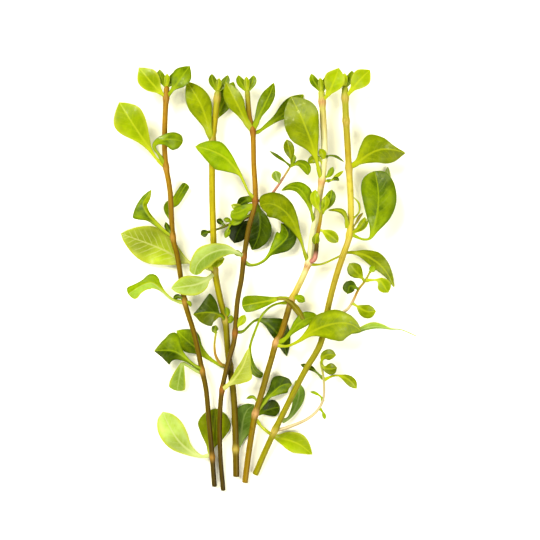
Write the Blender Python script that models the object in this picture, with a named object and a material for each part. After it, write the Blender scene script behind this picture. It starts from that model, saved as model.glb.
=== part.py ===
"""A bunch of five cut ludwigia stems with their leaves and side shoots, lying on a flat surface.

Lengths below are in millimetres. The stems point along +Y, their cut ends at -Y, and +Z is up.
"""

import math

import bpy
import bmesh
from mathutils import Vector

MM = 0.001
UP = Vector((0, 0, 1))

STEM_SIDES_RESOLUTION = 2
STEM_STEP = 11.0
NODE_SWELL = 1.22
NODE_REACH = 2.2
TWIG_STEP = 6.0
LEAST_REACH = 0.4
LEAF_THICKNESS = 0.6
JOINT_GAP = 0.9
LEAF_ROWS = 7
LEAF_COLUMNS = 4

# The middle of the bunch in X and Y, and how far its lowest leaf reaches below the drawing's zero.
DRAWING_MIDDLE = (8.07, -4.44)
DRAWING_LOWEST = 0.5

COLOURS = {
    "lime": (0.42, 0.58, 0.03),
    "olive": (0.27, 0.36, 0.01),
    "green": (0.16, 0.36, 0.02),
    "dark": (0.04, 0.12, 0.01),
    "pale": (0.50, 0.62, 0.12),
}

# Each stem: its radius at the cut end and at the tip, its colour, its route from cut end to tip,
# and the heights along Y of its swollen nodes.
STEMS = {
    "stem_a": (
        1.25,
        1.4,
        (0.42, 0.22, 0.02),
        [(-18, -109, 1.8), (-19.2, -92, 4), (-20.7, -75, 5.4), (-22, -60.5, 6), (-24, -50.5, 6.2),
         (-28, -32, 6.4), (-32.8, -15.5, 6.6), (-36.3, 6.5, 7), (-38.7, 17, 7.2), (-40, 39, 8),
         (-42, 51.5, 8.4), (-42.7, 62, 8.8), (-42.4, 77, 9), (-41.6, 92, 9)],
        (-94, -50.5, -15.5, 17, 51.5, 86),
    ),
    "stem_b": (
        1.6,
        1.6,
        (0.55, 0.48, 0.03),
        [(-7, -104, 2.1), (-7.2, -90, 3.2), (-7.6, -75.5, 4.4), (-8.5, -61, 4.4), (-10.2, -48.5, 4),
         (-11.2, -40.5, 4), (-12.5, -25, 5.6), (-15, -14.5, 6.4), (-17.7, 0, 7), (-18.3, 14.5, 7.4),
         (-18.9, 36, 7.8), (-19, 53, 8), (-18.8, 64.5, 8), (-17.4, 77, 8), (-16, 90, 8)],
        (-90, -48.5, -25, 0, 64.5, 86),
    ),
    "stem_c": (
        1.2,
        1.35,
        (0.50, 0.28, 0.04),
        [(-13.6, -111, 1.8), (-15, -93, 4), (-15.2, -75, 6), (-14, -60, 7.2), (-11, -46.5, 8.2),
         (-8.5, -38, 8.4), (-7.5, -31.5, 8.4), (-6.3, -16, 8.6), (-4.2, -4, 8.8), (-3, 6.5, 9),
         (-0.6, 21, 9.2), (2.6, 35, 9.4), (1.9, 53, 9.4), (1.4, 69.5, 9.4), (-0.4, 77, 9.2),
         (-1.4, 90, 9)],
        (-60, -31.5, 6.5, 35, 69.5),
    ),
    "stem_d": (
        1.5,
        1.65,
        (0.62, 0.54, 0.10),
        [(-2.6, -107, 2), (-1, -94, 3.4), (1, -81, 5), (2.6, -72.3, 5.6), (6, -61, 6),
         (8.5, -52, 6.4), (10.6, -45, 6.6), (13, -36.5, 6.8), (15.8, -31.5, 7), (20.6, -15.5, 7.4),
         (23.6, -9.5, 7.6), (29.2, 3.5, 8), (31.2, 16.5, 8.2), (33.4, 28.5, 8.4), (35.8, 44, 8.8),
         (37.2, 58, 9), (36.5, 77, 9), (35.6, 90, 8.8)],
        (-72.3, -36.5, -15.5, 3.5, 45, 84),
    ),
    "stem_e": (
        1.5,
        1.65,
        (0.62, 0.52, 0.05),
        [(2.6, -103, 2), (7, -92.5, 3.6), (12.4, -80.5, 5.8), (16, -73, 6.8), (22, -61, 7.8),
         (28, -49.5, 8.4), (35.3, -36.5, 9), (39.3, -17.5, 9.2), (42.5, -5, 9.3), (46.2, 6.5, 9.4),
         (49.7, 17.5, 9.5), (50.4, 32, 9.6), (49.3, 53, 9.6), (47.9, 77, 9.4), (47.4, 92, 9)],
        (-80, -26, 17.5, 51, 74.5, 86),
    ),
}

# Each side shoot: the stem it grows from, its radius, its colour and its route from the stem outwards.
SHOOTS = {
    "side_shoot_pink": (
        "stem_c",
        0.85,
        (0.60, 0.25, 0.16),
        [(2.6, 34.5, 9.4), (6, 34.8, 6.6), (9.5, 36.5, 5.6), (14.5, 43, 6.6), (21, 53, 8)],
    ),
    "side_shoot_d": (
        "stem_d",
        1.3,
        (0.55, 0.30, 0.06),
        [(29.4, 4.2, 8), (32, 5.2, 10.4), (33, 9.5, 12), (33.6, 17, 12.8), (35, 24.5, 13.6),
         (35.6, 30, 14)],
    ),
    "side_shoot_e_upper": (
        "stem_e",
        0.85,
        (0.58, 0.42, 0.08),
        [(38, -24, 9.2), (42.5, -23, 7), (48.3, -20, 7.6), (51.2, -16, 9), (54, -10, 10.6),
         (57.4, -5.3, 12), (60, -0.5, 12.6)],
    ),
    "side_shoot_e_lower": (
        "stem_e",
        0.95,
        (0.62, 0.55, 0.12),
        [(12.4, -80.5, 5.8), (19, -79, 5), (28.7, -74.8, 5), (34.5, -69.5, 5.6), (37, -63, 6.4),
         (36.8, -54, 7.6), (35.5, -46.8, 8.4)],
    ),
    "side_shoot_b": (
        "stem_b",
        0.85,
        (0.42, 0.32, 0.05),
        [(-10.2, -48.5, 4), (-14, -47.6, 5.8), (-17, -43.5, 7), (-17.8, -37.5, 7.6), (-17, -31, 7.6)],
    ),
    "side_shoot_c": (
        "stem_c",
        0.8,
        (0.30, 0.36, 0.04),
        [(0.9, 28, 9.3), (-3, 25.5, 6), (-9, 23.5, 4.6), (-15, 21, 4.4), (-21, 19, 4.6)],
    ),
}

# Each leaf: its stem, its colour, how steeply its left and right half rise from the midrib, and its
# midrib's route to the tip with the reach of its left and right half at each point.
LEAVES = {
    "leaf_a1_left": (
        "stem_a", "lime", (0.2, 0.3),
        [(-43, 52, 8.4, 0.7, 0.7), (-47, 56, 9.4, 0.7, 0.7), (-50, 60.5, 10.2, 1.3, 1.2),
         (-53.5, 65.5, 10.8, 3.2, 4), (-58.5, 73, 11, 8.2, 7.2), (-62, 78.5, 10, 7.2, 6.6),
         (-65.5, 84, 8, 0.4, 0.4)],
    ),
    "leaf_a1_front": (
        "stem_a", "green", (-0.2, -0.35),
        [(-42.6, 52.5, 8.6, 0.7, 0.7), (-45, 57, 11, 0.7, 0.7), (-47.6, 61, 13.6, 1, 0.9),
         (-46, 63.6, 15.6, 1.5, 1.6), (-42.5, 64.6, 16.8, 2.6, 2.8), (-38.6, 64.8, 16.4, 3.6, 5.2),
         (-35.4, 64.4, 14.6, 3.2, 4.2), (-33.4, 63.9, 12.4, 1.6, 2)],
    ),
    "leaf_a2_left": (
        "stem_a", "green", (0.35, 0.2),
        [(-39, 17, 7.2, 0.7, 0.7), (-43.5, 20.2, 8.4, 0.9, 0.8), (-49.5, 26, 10, 2.4, 1.3),
         (-52, 29.5, 11, 7.2, 1.6), (-53.2, 32.8, 12.4, 2.8, 2.2), (-51.2, 36.5, 13.2, 1.8, 2),
         (-49, 40, 13, 0.3, 0.3)],
    ),
    "leaf_a2_back": (
        "stem_a", "green", (0.1, 0.1),
        [(-38.5, 17.5, 6.6, 0.7, 0.7), (-39.5, 24, 4.2, 0.7, 0.7), (-40, 31, 3, 3.6, 1.2),
         (-37.5, 34.5, 2.8, 2.4, 2.2), (-34.5, 39.5, 2.8, 2.2, 2.4), (-32, 43.5, 3.2, 1.8, 2.2)],
    ),
    "leaf_a3_left": (
        "stem_a", "lime", (-0.2, 0.3),
        [(-33, -16.5, 6.6, 0.7, 0.7), (-39, -14.6, 8, 0.7, 0.7), (-43, -11, 9.2, 0.8, 0.8),
         (-46, -8.2, 10, 1.8, 2.2), (-49, -6.3, 10.6, 3.5, 4.5), (-52.5, -7, 10.8, 3.1, 2.5),
         (-56, -8.8, 10.4, 3.4, 2.3), (-59, -10.8, 9.4, 4.2, 3), (-61, -12, 8.2, 3, 2.4)],
    ),
    "leaf_a4_upper": (
        "stem_a", "dark", (-0.5, -0.12),
        [(-23.6, -50.4, 6.4, 0.7, 0.7), (-27.5, -48, 8.4, 0.8, 0.8), (-32, -44.6, 10, 1.4, 1.4),
         (-36, -41.6, 11, 4, 3.6), (-39, -40.4, 11, 7.2, 9.4), (-42.5, -40.2, 9.8, 5.3, 5.8),
         (-45.5, -40.4, 8, 2.7, 3), (-48.2, -40.6, 5.8, 0.3, 0.3)],
    ),
    "leaf_a4_hanging": (
        "stem_a", "pale", (0.15, 0.1),
        [(-23.5, -51.8, 6, 0.7, 0.7), (-28, -49.8, 6.4, 0.7, 0.7), (-32, -47.4, 6.6, 0.8, 0.8),
         (-33.8, -47, 6.6, 1, 1), (-34.6, -49.4, 6, 1.8, 2), (-35.4, -53, 5, 2.8, 3.4),
         (-36.2, -57.4, 3.4, 3.8, 4.5), (-36.8, -60.8, 2, 3.8, 4.2)],
    ),
    "leaf_a5_left": (
        "stem_a", "pale", (0.1, 0.1),
        [(-19.4, -93, 3.8, 0.7, 0.7), (-25, -93.6, 3.4, 0.9, 0.9), (-31, -90.6, 3, 2.8, 2.8),
         (-36, -86, 2.6, 5.8, 5.8), (-40, -80, 2.2, 6.6, 6.6), (-42.6, -74.8, 1.8, 4.6, 4.6),
         (-44, -71.4, 1.4, 0.8, 0.8)],
    ),
    "leaf_a5_under": (
        "stem_a", "olive", (0.05, 0.05),
        [(-19.4, -95, 3.4, 0.7, 0.7), (-19.9, -90, 1.8, 1.6, 1.6), (-19, -84, 1.4, 5.6, 5.6),
         (-18.2, -78.4, 1.3, 8.2, 8.2), (-17.8, -73.6, 1.3, 6.4, 6.6), (-17.6, -69.8, 1.3, 2, 2)],
    ),
    "leaf_a6_left": (
        "stem_a", "lime", (0.2, 0.2),
        [(-41.9, 86, 9, 0.7, 0.7), (-44.6, 88.6, 10, 0.9, 0.9), (-48.4, 92.6, 11, 4.6, 4.6),
         (-52, 96.8, 10.8, 5, 5), (-55.6, 101.2, 9, 0.4, 0.4)],
    ),
    "leaf_a6_right": (
        "stem_a", "green", (0.2, 0.2),
        [(-41.5, 86.4, 9, 0.7, 0.7), (-38.6, 90, 11, 0.9, 0.9), (-35.6, 94, 12, 4.2, 4.2),
         (-32.8, 98, 11.4, 4.4, 4.4), (-30, 102, 9.6, 0.4, 0.4)],
    ),
    "leaf_b1_left": (
        "stem_b", "olive", (0.2, -0.3),
        [(-18.9, 64.6, 8.6, 0.8, 0.8), (-20, 68.4, 10, 1.6, 1.2), (-21, 72.4, 11, 2.8, 2),
         (-22.4, 77, 11.4, 4.8, 3.6), (-24.6, 82.6, 11.2, 6.4, 5.6), (-28, 88.6, 10, 5, 4.8),
         (-31.6, 94.4, 8, 0.4, 0.4)],
    ),
    "leaf_b1_right": (
        "stem_b", "green", (0.1, 0.1),
        [(-18.6, 64.8, 7.6, 0.7, 0.7), (-17.8, 70, 5, 0.8, 0.8), (-17.2, 76, 4, 1, 1),
         (-14.4, 82, 3.2, 3.6, 3.6), (-11, 88.6, 2.2, 4.4, 4.4), (-8.4, 95, 1.2, 0.4, 0.4)],
    ),
    "leaf_b2_left": (
        "stem_b", "pale", (0.08, 0.08),
        [(-17.7, 0, 7, 0.7, 0.7), (-24, 1.6, 5.2, 0.7, 0.7), (-31, 4, 4.2, 0.9, 0.9),
         (-37, 6.6, 3.6, 4.6, 4.2), (-43, 9.8, 3.2, 8, 7.4), (-50, 12.8, 2.8, 9.4, 9.2),
         (-56.5, 15.2, 2.4, 7.6, 7.4), (-62, 17.2, 1.8, 3.8, 3.6), (-65.4, 18.4, 1.2, 0.3, 0.3)],
    ),
    "leaf_b2_front": (
        "stem_b", "pale", (0.1, 0.15),
        [(-17.4, -1.4, 7, 0.7, 0.7), (-20.5, -4, 9.6, 1, 1), (-23.5, -6, 10.8, 3.8, 3.2),
         (-27.5, -7.4, 11.2, 5.2, 4.7), (-32.5, -8.2, 11.2, 4.5, 5), (-36.5, -8.8, 10.8, 2.7, 3),
         (-39.4, -9.2, 10.4, 0.4, 0.4)],
    ),
    "leaf_b3_left": (
        "stem_b", "olive", (-0.15, -0.45),
        [(-12.4, -25.4, 6.4, 0.7, 0.7), (-14.4, -22.9, 9, 0.7, 0.8), (-15.8, -21.9, 11, 4.4, 1.2),
         (-17, -21.4, 12, 6.6, 3.8), (-18.6, -21.1, 12.6, 7, 7), (-20.5, -21, 13, 6.8, 9.3),
         (-22.2, -21, 13, 6.5, 6.4), (-24.2, -21.2, 12.8, 5.6, 3.6), (-26.4, -21.6, 12, 3.6, 1.4),
         (-28.2, -22.2, 11, 0.8, 0.4)],
    ),
    "leaf_b4_left": (
        "stem_b", "green", (0.1, 0.1),
        [(-10.6, -48.8, 4, 0.7, 0.7), (-15.5, -47.6, 2.8, 0.8, 0.8), (-20.5, -44.6, 2.2, 1, 1),
         (-25.5, -40.6, 2, 2.4, 2.6), (-29.5, -37.4, 2.2, 5, 6), (-33, -34.4, 2.2, 4.6, 6.2),
         (-35.8, -31.6, 2, 1.6, 2.6), (-37, -30.4, 1.8, 0.3, 0.3)],
    ),
    "leaf_b5_up": (
        "stem_b", "green", (0.05, 0.05),
        [(-7, -91, 3.4, 0.7, 0.7), (-5.4, -86.5, 1.8, 1.4, 1.4), (-4.4, -81, 1.4, 4.4, 4.6),
         (-3.4, -75, 1.3, 6, 6), (-1.4, -70.6, 1.4, 3.8, 3.6), (2, -67.8, 1.5, 0.6, 0.6)],
    ),
    "leaf_c1_left": (
        "stem_c", "olive", (0.2, 0.2),
        [(1.2, 69.6, 9.4, 0.9, 0.9), (-1.5, 73.5, 11.4, 1.4, 1.4), (-4, 78, 12.6, 2.6, 2.4),
         (-6.6, 83, 12.6, 4.6, 4), (-9.5, 88.6, 11.4, 4.2, 3.6), (-12, 94, 9, 0.4, 0.4)],
    ),
    "leaf_c1_middle": (
        "stem_c", "green", (0.3, 0.1),
        [(1.6, 70, 9.6, 0.8, 0.8), (3.2, 73.4, 10.8, 1.2, 1), (5, 77.6, 11.6, 2.4, 1.6),
         (7.4, 82.6, 11.8, 3.6, 3), (10, 88, 11, 3.2, 2.8), (12, 93.6, 9, 0.4, 0.4)],
    ),
    "leaf_c1_right": (
        "stem_c", "green", (0.3, 0.1),
        [(1.6, 68.4, 9.2, 0.7, 0.7), (4.6, 69.4, 8.2, 0.7, 0.7), (8.6, 72.4, 6.8, 1.3, 1),
         (13.4, 76, 5.2, 2.2, 1.6), (18.4, 80, 3.8, 4.2, 3.6), (23, 84.4, 2.4, 4, 3.6),
         (27, 88.6, 1.2, 0.4, 0.4)],
    ),
    "leaf_c2_left": (
        "stem_c", "lime", (-0.15, 0.15),
        [(2.4, 35.6, 9.4, 0.7, 0.7), (-0.5, 38.6, 11.2, 0.6, 0.6), (-2.7, 43, 12.8, 0.7, 0.7),
         (-5, 47.5, 13.8, 1, 1), (-8, 51.5, 14.6, 4.3, 1.9), (-12, 55.5, 15, 7.4, 3.8),
         (-16.5, 58.2, 14.8, 6.8, 5.7), (-21.5, 60.2, 13.8, 4.6, 4.2), (-25, 61.1, 12.4, 2.2, 2.2),
         (-27.4, 61.5, 11, 0.3, 0.3)],
    ),
    "leaf_c2_behind": (
        "stem_c", "dark", (0.05, 0.05),
        [(2.4, 34.4, 9, 0.8, 0.8), (4, 30.6, 6.4, 1.2, 1.2), (5, 26, 4.6, 4, 4.4), (5, 21, 3.6, 6, 6),
         (4, 16.4, 2.8, 5.4, 5.6), (2.4, 12.6, 2.2, 3, 3.4), (0.8, 10, 1.8, 0.5, 0.5)],
    ),
    "leaf_c2_glossy": (
        "stem_c", "green", (-0.1, 0.2),
        [(1.8, 32, 9.6, 0.8, 0.8), (-1.4, 31, 11, 2.2, 2), (-4.8, 29.2, 11.4, 4.2, 3),
         (-7.8, 28.4, 11, 3.6, 2.4), (-9.6, 29, 10.4, 1.2, 1.2)],
    ),
    "leaf_c2_upper": (
        "stem_c", "dark", (0.1, 0.1),
        [(1.6, 35.4, 9, 0.7, 0.7), (-1.4, 35, 8.4, 1.6, 2), (-3.6, 33.8, 7.8, 2.6, 2.8),
         (-5.6, 32.4, 7.2, 1.6, 1.6), (-7.2, 31.4, 6.8, 0.4, 0.4)],
    ),
    "leaf_c3_left": (
        "stem_c", "pale", (0.1, 0.1),
        [(-3.2, 7, 9.4, 0.7, 0.7), (-7, 8.8, 11.8, 1, 1), (-12, 10, 13.4, 3, 2.8),
         (-17.5, 9, 14.4, 4.2, 4.4), (-22.5, 6.4, 14.8, 5.4, 5.4), (-26.2, 2.4, 14.4, 4.4, 3.8),
         (-27.6, -2.4, 13.4, 2.6, 2.4)],
    ),
    "leaf_c3_right": (
        "stem_c", "green", (0.15, 0.1),
        [(-3.4, 5, 8.8, 0.7, 0.7), (-0.6, 2.6, 7.6, 0.7, 0.7), (3.4, 2.8, 6.6, 0.7, 0.7),
         (7.4, 5, 6, 0.8, 0.8), (10, 8, 5.6, 1.2, 1.2), (13, 10.8, 5, 3.2, 3.2),
         (16.6, 14, 4.4, 5.6, 5.2), (19, 17.4, 3.8, 5.4, 4.6), (18, 20.8, 3.2, 3.6, 2.2),
         (15.4, 23.6, 2.8, 0.5, 0.5)],
    ),
    "leaf_c4_right": (
        "stem_c", "dark", (0.05, 0.05),
        [(-7.2, -31.2, 8.4, 0.6, 0.6), (-3.4, -30.6, 7.4, 0.6, 0.6), (1, -26.4, 6.4, 0.6, 0.6),
         (4, -25, 5.6, 0.9, 0.8), (7.6, -26.2, 4.6, 2.4, 1.4), (11.6, -29.6, 3.6, 7, 2.6),
         (14.6, -33.2, 2.8, 6.2, 3), (17, -37.6, 2.2, 3.4, 2.7), (18.5, -43.6, 1.4, 0.3, 0.3)],
    ),
    "leaf_c5_right": (
        "stem_c", "pale", (0.2, -0.25),
        [(-14.2, -60.4, 7.2, 0.7, 0.7), (-10.4, -57, 10.4, 1, 1), (-7.5, -53.8, 12, 1.6, 4.4),
         (-5, -50.4, 13, 2.3, 7), (-3, -46.8, 13.6, 2, 3.8), (-1.3, -42, 13.8, 1.2, 1.6),
         (-0.5, -38.6, 13.6, 0.3, 0.3)],
    ),
    "leaf_d1_top": (
        "stem_d", "olive", (-0.05, 0.15),
        [(35.4, 45.6, 9.6, 0.7, 0.7), (34.2, 50.4, 11.2, 0.8, 0.8), (32.8, 56, 12.4, 1.2, 1.2),
         (31.4, 61, 12.8, 3.6, 2.8), (29.5, 66.5, 13, 8.4, 5.2), (27.5, 71.5, 12.8, 9.6, 7.3),
         (25.5, 76.5, 12, 9.2, 8.8), (23, 81.5, 10.6, 6.6, 7), (20.4, 87, 8.4, 0.4, 0.4)],
    ),
    "leaf_d1_arched": (
        "stem_d", "green", (-0.2, 0.2),
        [(32, 24, 9, 0.7, 0.7), (30.8, 28.6, 11, 0.7, 0.7), (29, 33.5, 12.6, 1.2, 2),
         (27, 37.5, 13.4, 2, 4.2), (24, 40.5, 13.6, 2, 3.5), (20, 41.3, 12.8, 1.6, 1.8),
         (15.6, 39.6, 11, 0.3, 0.3)],
    ),
    "leaf_d2_left": (
        "stem_d", "olive", (-0.1, 0.15),
        [(29, 3.8, 8.4, 0.7, 0.7), (27, 9.5, 10.6, 0.7, 0.7), (25.5, 14.5, 11.8, 0.9, 0.9),
         (23.5, 20, 12.6, 2.5, 1.5), (20.5, 25.5, 13, 4.3, 3.5), (17, 29.5, 13, 5.5, 5.5),
         (12.5, 32.4, 12.6, 6.7, 6.2), (8, 33, 11.8, 6, 5), (5, 32, 10.8, 3, 2.8)],
    ),
    "leaf_d2_right": (
        "stem_d", "olive", (0.1, 0.1),
        [(29.8, 2.6, 8, 0.5, 0.5), (36, 3, 6.4, 0.5, 0.5), (43, 6, 5.2, 0.5, 0.5),
         (48.5, 8.6, 5.2, 0.7, 0.7), (53, 8.5, 5.8, 1.2, 1), (57.5, 7.5, 6.4, 2.8, 2.4),
         (62, 5, 6.4, 4.6, 3.4), (66, 1.8, 5.8, 4, 3.2), (69.5, -2.7, 4.4, 2.3, 1.8),
         (72.6, -8.8, 2, 0.3, 0.3)],
    ),
    "leaf_d3_lime": (
        "stem_d", "lime", (0.15, 0.2),
        [(20.6, -15, 7.6, 0.7, 0.7), (16, -14, 9.4, 0.8, 0.9), (12.5, -14.7, 10.2, 1.2, 1.4),
         (7.5, -15.7, 10.6, 2.6, 2.8), (2.5, -16.6, 10.6, 3.6, 4), (-1.5, -17.4, 10, 3.8, 4.4),
         (-4, -17.9, 9.4, 2.8, 2.8)],
    ),
    "leaf_d3_thin": (
        "stem_d", "green", (0.1, 0.1),
        [(20.4, -16.4, 7.4, 0.6, 0.6), (14, -16.8, 7.6, 0.6, 0.6), (9.4, -19, 8, 0.6, 0.6),
         (5.6, -23.4, 8.2, 0.6, 0.6), (2.6, -30.4, 8, 0.6, 0.6), (0, -38.6, 6.6, 0.7, 0.7),
         (0.4, -46, 5, 1.4, 1.6), (2.4, -51, 3.6, 2, 2), (6.4, -53.4, 2.6, 1.4, 1.6)],
    ),
    "leaf_d4_fold": (
        "stem_d", "green", (0.1, 0.1),
        [(13.2, -36.6, 7, 0.7, 0.7), (17, -34.8, 9.4, 0.9, 0.9), (20.5, -31, 10.8, 1.2, 1.4),
         (24, -27, 11.4, 2.6, 3), (27.5, -24.6, 11.6, 3.8, 3.2), (31, -23.4, 11.4, 2.6, 2.4),
         (34, -23, 11, 0.5, 0.5)],
    ),
    "leaf_d4_right": (
        "stem_d", "olive", (0.12, -0.05),
        [(12.8, -37.6, 7, 0.7, 0.7), (18.5, -38, 10, 0.7, 0.7), (24.5, -35.2, 13.2, 0.9, 0.9),
         (29.5, -31.4, 15, 2.4, 2), (34, -29, 15.8, 6.2, 4.8), (38.5, -27.4, 16, 6.8, 7.6),
         (43, -26.4, 15.8, 6.9, 9), (48, -26.4, 15, 4.8, 8.6), (52, -27.8, 13.8, 2.6, 5.6),
         (55.4, -30.4, 12.2, 0.4, 0.4)],
    ),
    "leaf_d5_up": (
        "stem_d", "dark", (0.1, -0.2),
        [(3.2, -71.6, 5.8, 0.7, 0.7), (6, -67.4, 5, 0.9, 0.9), (9, -63.6, 4.6, 1.4, 1.4),
         (12.2, -60.6, 4.4, 3.4, 3), (15, -58.4, 4.2, 5.6, 4.4), (18.4, -57.2, 4, 3.4, 4.2),
         (21.2, -57.4, 3.6, 0.6, 0.8)],
    ),
    "leaf_d5_under": (
        "stem_d", "dark", (0.05, 0.05),
        [(2.6, -73, 5.2, 0.7, 0.7), (5.4, -71.8, 2.8, 0.9, 0.9), (8.6, -70.6, 1.6, 3.2, 3),
         (12, -69.6, 1.2, 4.2, 4), (15, -69, 1.1, 2.2, 2.2)],
    ),
    "leaf_d5_right": (
        "stem_d", "lime", (0.1, 0.1),
        [(2.4, -74.4, 5.4, 0.7, 0.7), (7, -80, 3, 0.7, 0.7), (13, -84, 2.2, 1.4, 1.4),
         (19, -85.6, 2, 4.4, 4.4), (25, -88, 1.8, 5, 5), (31.4, -93, 1.2, 0.4, 0.4)],
    ),
    "leaf_d6_right": (
        "stem_d", "lime", (0.2, 0.2),
        [(36.1, 84.2, 9, 0.7, 0.7), (38.8, 87.6, 10.8, 0.9, 0.9), (41, 92, 12, 4.4, 4.4),
         (42.8, 96.4, 11.6, 4.8, 4.8), (44.4, 101, 10, 0.4, 0.4)],
    ),
    "leaf_e2_right": (
        "stem_e", "olive", (0.1, -0.05),
        [(49.6, 51.2, 9.6, 0.8, 0.8), (53.5, 53.6, 11.2, 1.5, 1.5), (58, 56.8, 12.4, 5.6, 4.2),
         (62, 59, 13, 8.8, 6.2), (66, 60.1, 13, 6.4, 7.2), (70, 60.1, 12.4, 3, 7),
         (74, 59.4, 11.4, 1.2, 5.2), (77.6, 58.2, 10, 0.6, 0.8)],
    ),
    "leaf_e3_right": (
        "stem_e", "green", (0.12, 0.12),
        [(50, 18.4, 9.6, 0.6, 0.6), (53.4, 16.4, 10.6, 0.6, 0.6), (57, 15.2, 11, 0.6, 0.6),
         (60, 16, 11.2, 0.8, 0.8), (61.6, 20.4, 11.6, 2, 2.8), (63.2, 27, 12.2, 5.6, 6.8),
         (64, 34, 12.6, 7.8, 8.8), (63.8, 40.4, 12.2, 8.6, 8.6), (63, 45.6, 11.2, 7.4, 6.8),
         (62.2, 49.4, 10, 4, 4)],
    ),
    "leaf_e3_behind": (
        "stem_e", "pale", (0.1, 0.1),
        [(50, 19, 9.2, 0.6, 0.6), (56, 22, 6, 0.6, 0.6), (62, 30, 4.6, 1, 1), (66, 38, 3.8, 2.6, 2.6),
         (68.6, 46, 3, 2.2, 2.2), (69.4, 52, 2, 0.4, 0.4)],
    ),
    "leaf_e3_left": (
        "stem_e", "olive", (0.1, 0.1),
        [(48.6, 21, 10, 0.7, 0.7), (48, 25.4, 12.2, 0.9, 0.9), (46.4, 28.6, 13.4, 1.3, 1.4),
         (43.4, 29.8, 13.6, 1, 1), (39, 29.8, 12.6, 0.3, 0.3)],
    ),
    "leaf_e4_right": (
        "stem_e", "lime", (0.4, -0.2),
        [(38.6, -28, 9.2, 0.7, 0.7), (46, -31, 7, 0.8, 0.8), (53, -31, 7.4, 1.2, 0.9),
         (57, -29.6, 8.2, 2, 0.9), (61.5, -28.6, 8.4, 2.6, 0.9), (66, -28.8, 8, 1.8, 0.6),
         (70.5, -29.6, 7.2, 0.6, 0.4), (76, -30, 5.6, 0.3, 0.3), (84, -33.4, 2.2, 0.25, 0.25)],
    ),
    "leaf_e5_right": (
        "stem_e", "green", (0.05, 0.05),
        [(16.2, -76, 6, 0.7, 0.7), (19.6, -74.2, 3.2, 0.9, 0.9), (22.4, -70, 2.4, 1.8, 1.8),
         (24.2, -65.4, 1.9, 3, 2.8), (24.6, -61, 1.6, 3.4, 2.8), (23, -55.4, 1.3, 0.5, 0.5)],
    ),
    "leaf_e6_left": (
        "stem_e", "lime", (0.2, 0.2),
        [(47.8, 86.2, 9.2, 0.7, 0.7), (50.6, 89.6, 11, 0.9, 0.9), (53.6, 93.4, 12, 4, 4),
         (56.8, 96.8, 11.6, 4.4, 4.4), (60, 100, 9.6, 0.4, 0.4)],
    ),
}


def spline_point(a, b, c, d, t):
    """A point of the smooth curve from b to c, with a and d as its neighbours."""
    return 0.5 * (
        2 * b + (c - a) * t + (2 * a - 5 * b + 4 * c - d) * t**2 + (3 * b - a - 3 * c + d) * t**3
    )


def smooth_route(route, pieces=10):
    """Close-set points of the smooth curve through the route's points."""
    points = [Vector(p) for p in route]
    ends = [2 * points[0] - points[1], *points, 2 * points[-1] - points[-2]]
    line = []
    for i in range(len(points) - 1):
        for k in range(pieces):
            line.append(spline_point(*ends[i : i + 4], k / pieces))
    line.append(points[-1])
    return line


def even_points(line, count):
    """The line's points again, this many of them at equal distances."""
    lengths = [0.0]
    for a, b in zip(line, line[1:]):
        lengths.append(lengths[-1] + (b.xyz - a.xyz).length)
    result = []
    i = 0
    for k in range(count):
        wanted = lengths[-1] * k / (count - 1)
        while i < len(line) - 2 and lengths[i + 1] < wanted:
            i += 1
        share = (wanted - lengths[i]) / (lengths[i + 1] - lengths[i])
        result.append(line[i].lerp(line[i + 1], share))
    return result


def distance_to_line(point, line):
    return min((point.xyz - other.xyz).length for other in line)


def clear_of(line, other, distance):
    """The line without its first points that lie within this distance of the other line."""
    first = 0
    while distance_to_line(line[first], other) < distance:
        first += 1
    return line[first:]


def stem_radius(stem, y):
    """The stem's radius at this height along Y, with a swelling at each node."""
    cut_radius, tip_radius, _, route, nodes = STEMS[stem]
    share = (y - route[0][1]) / (route[-1][1] - route[0][1])
    radius = cut_radius + (tip_radius - cut_radius) * share
    nearest = min(abs(y - node) for node in nodes)
    return radius * (1 + (NODE_SWELL - 1) * math.exp(-((nearest / NODE_REACH) ** 2)))


def material(name, colour, roughness):
    made = bpy.data.materials.new(name)
    made.use_nodes = True
    shader = made.node_tree.nodes["Principled BSDF"]
    shader.inputs["Base Color"].default_value = (*colour, 1)
    shader.inputs["Roughness"].default_value = roughness
    shader.inputs["Metallic"].default_value = 0
    return made


def tube(name, points, radii, colour, resolution):
    """A closed round tube along the points, with a radius at each."""
    curve = bpy.data.curves.new(name, "CURVE")
    curve.dimensions = "3D"
    curve.bevel_depth = MM
    curve.bevel_resolution = resolution
    curve.use_fill_caps = True
    spline = curve.splines.new("POLY")
    spline.points.add(len(points) - 1)
    for slot, point, radius in zip(spline.points, points, radii):
        slot.co = (*(point * MM), 1)
        slot.radius = radius
    obj = bpy.data.objects.new(name, curve)
    bpy.context.scene.collection.objects.link(obj)
    curve.materials.append(material(name, colour, 0.45))
    return obj


def stem_stations(stem):
    """Points along the stem, close together at its nodes."""
    _, _, _, route, nodes = STEMS[stem]
    line = smooth_route(route)
    heights = {line[0].y, line[-1].y}
    for node in nodes:
        heights.update((node - NODE_REACH, node, node + NODE_REACH))
    stops = sorted(heights)
    for low, high in zip(stops, stops[1:]):
        parts = math.ceil((high - low) / STEM_STEP)
        heights.update(low + (high - low) * k / parts for k in range(parts))
    return [min(line, key=lambda p: abs(p.y - y)) for y in sorted(heights)]


def make_stem(name):
    stations = stem_stations(name)
    points = [p for i, p in enumerate(stations) if i == 0 or p.y > stations[i - 1].y]
    radii = [stem_radius(name, p.y) for p in points]
    return tube(name, points, radii, STEMS[name][2], STEM_SIDES_RESOLUTION)


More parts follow.
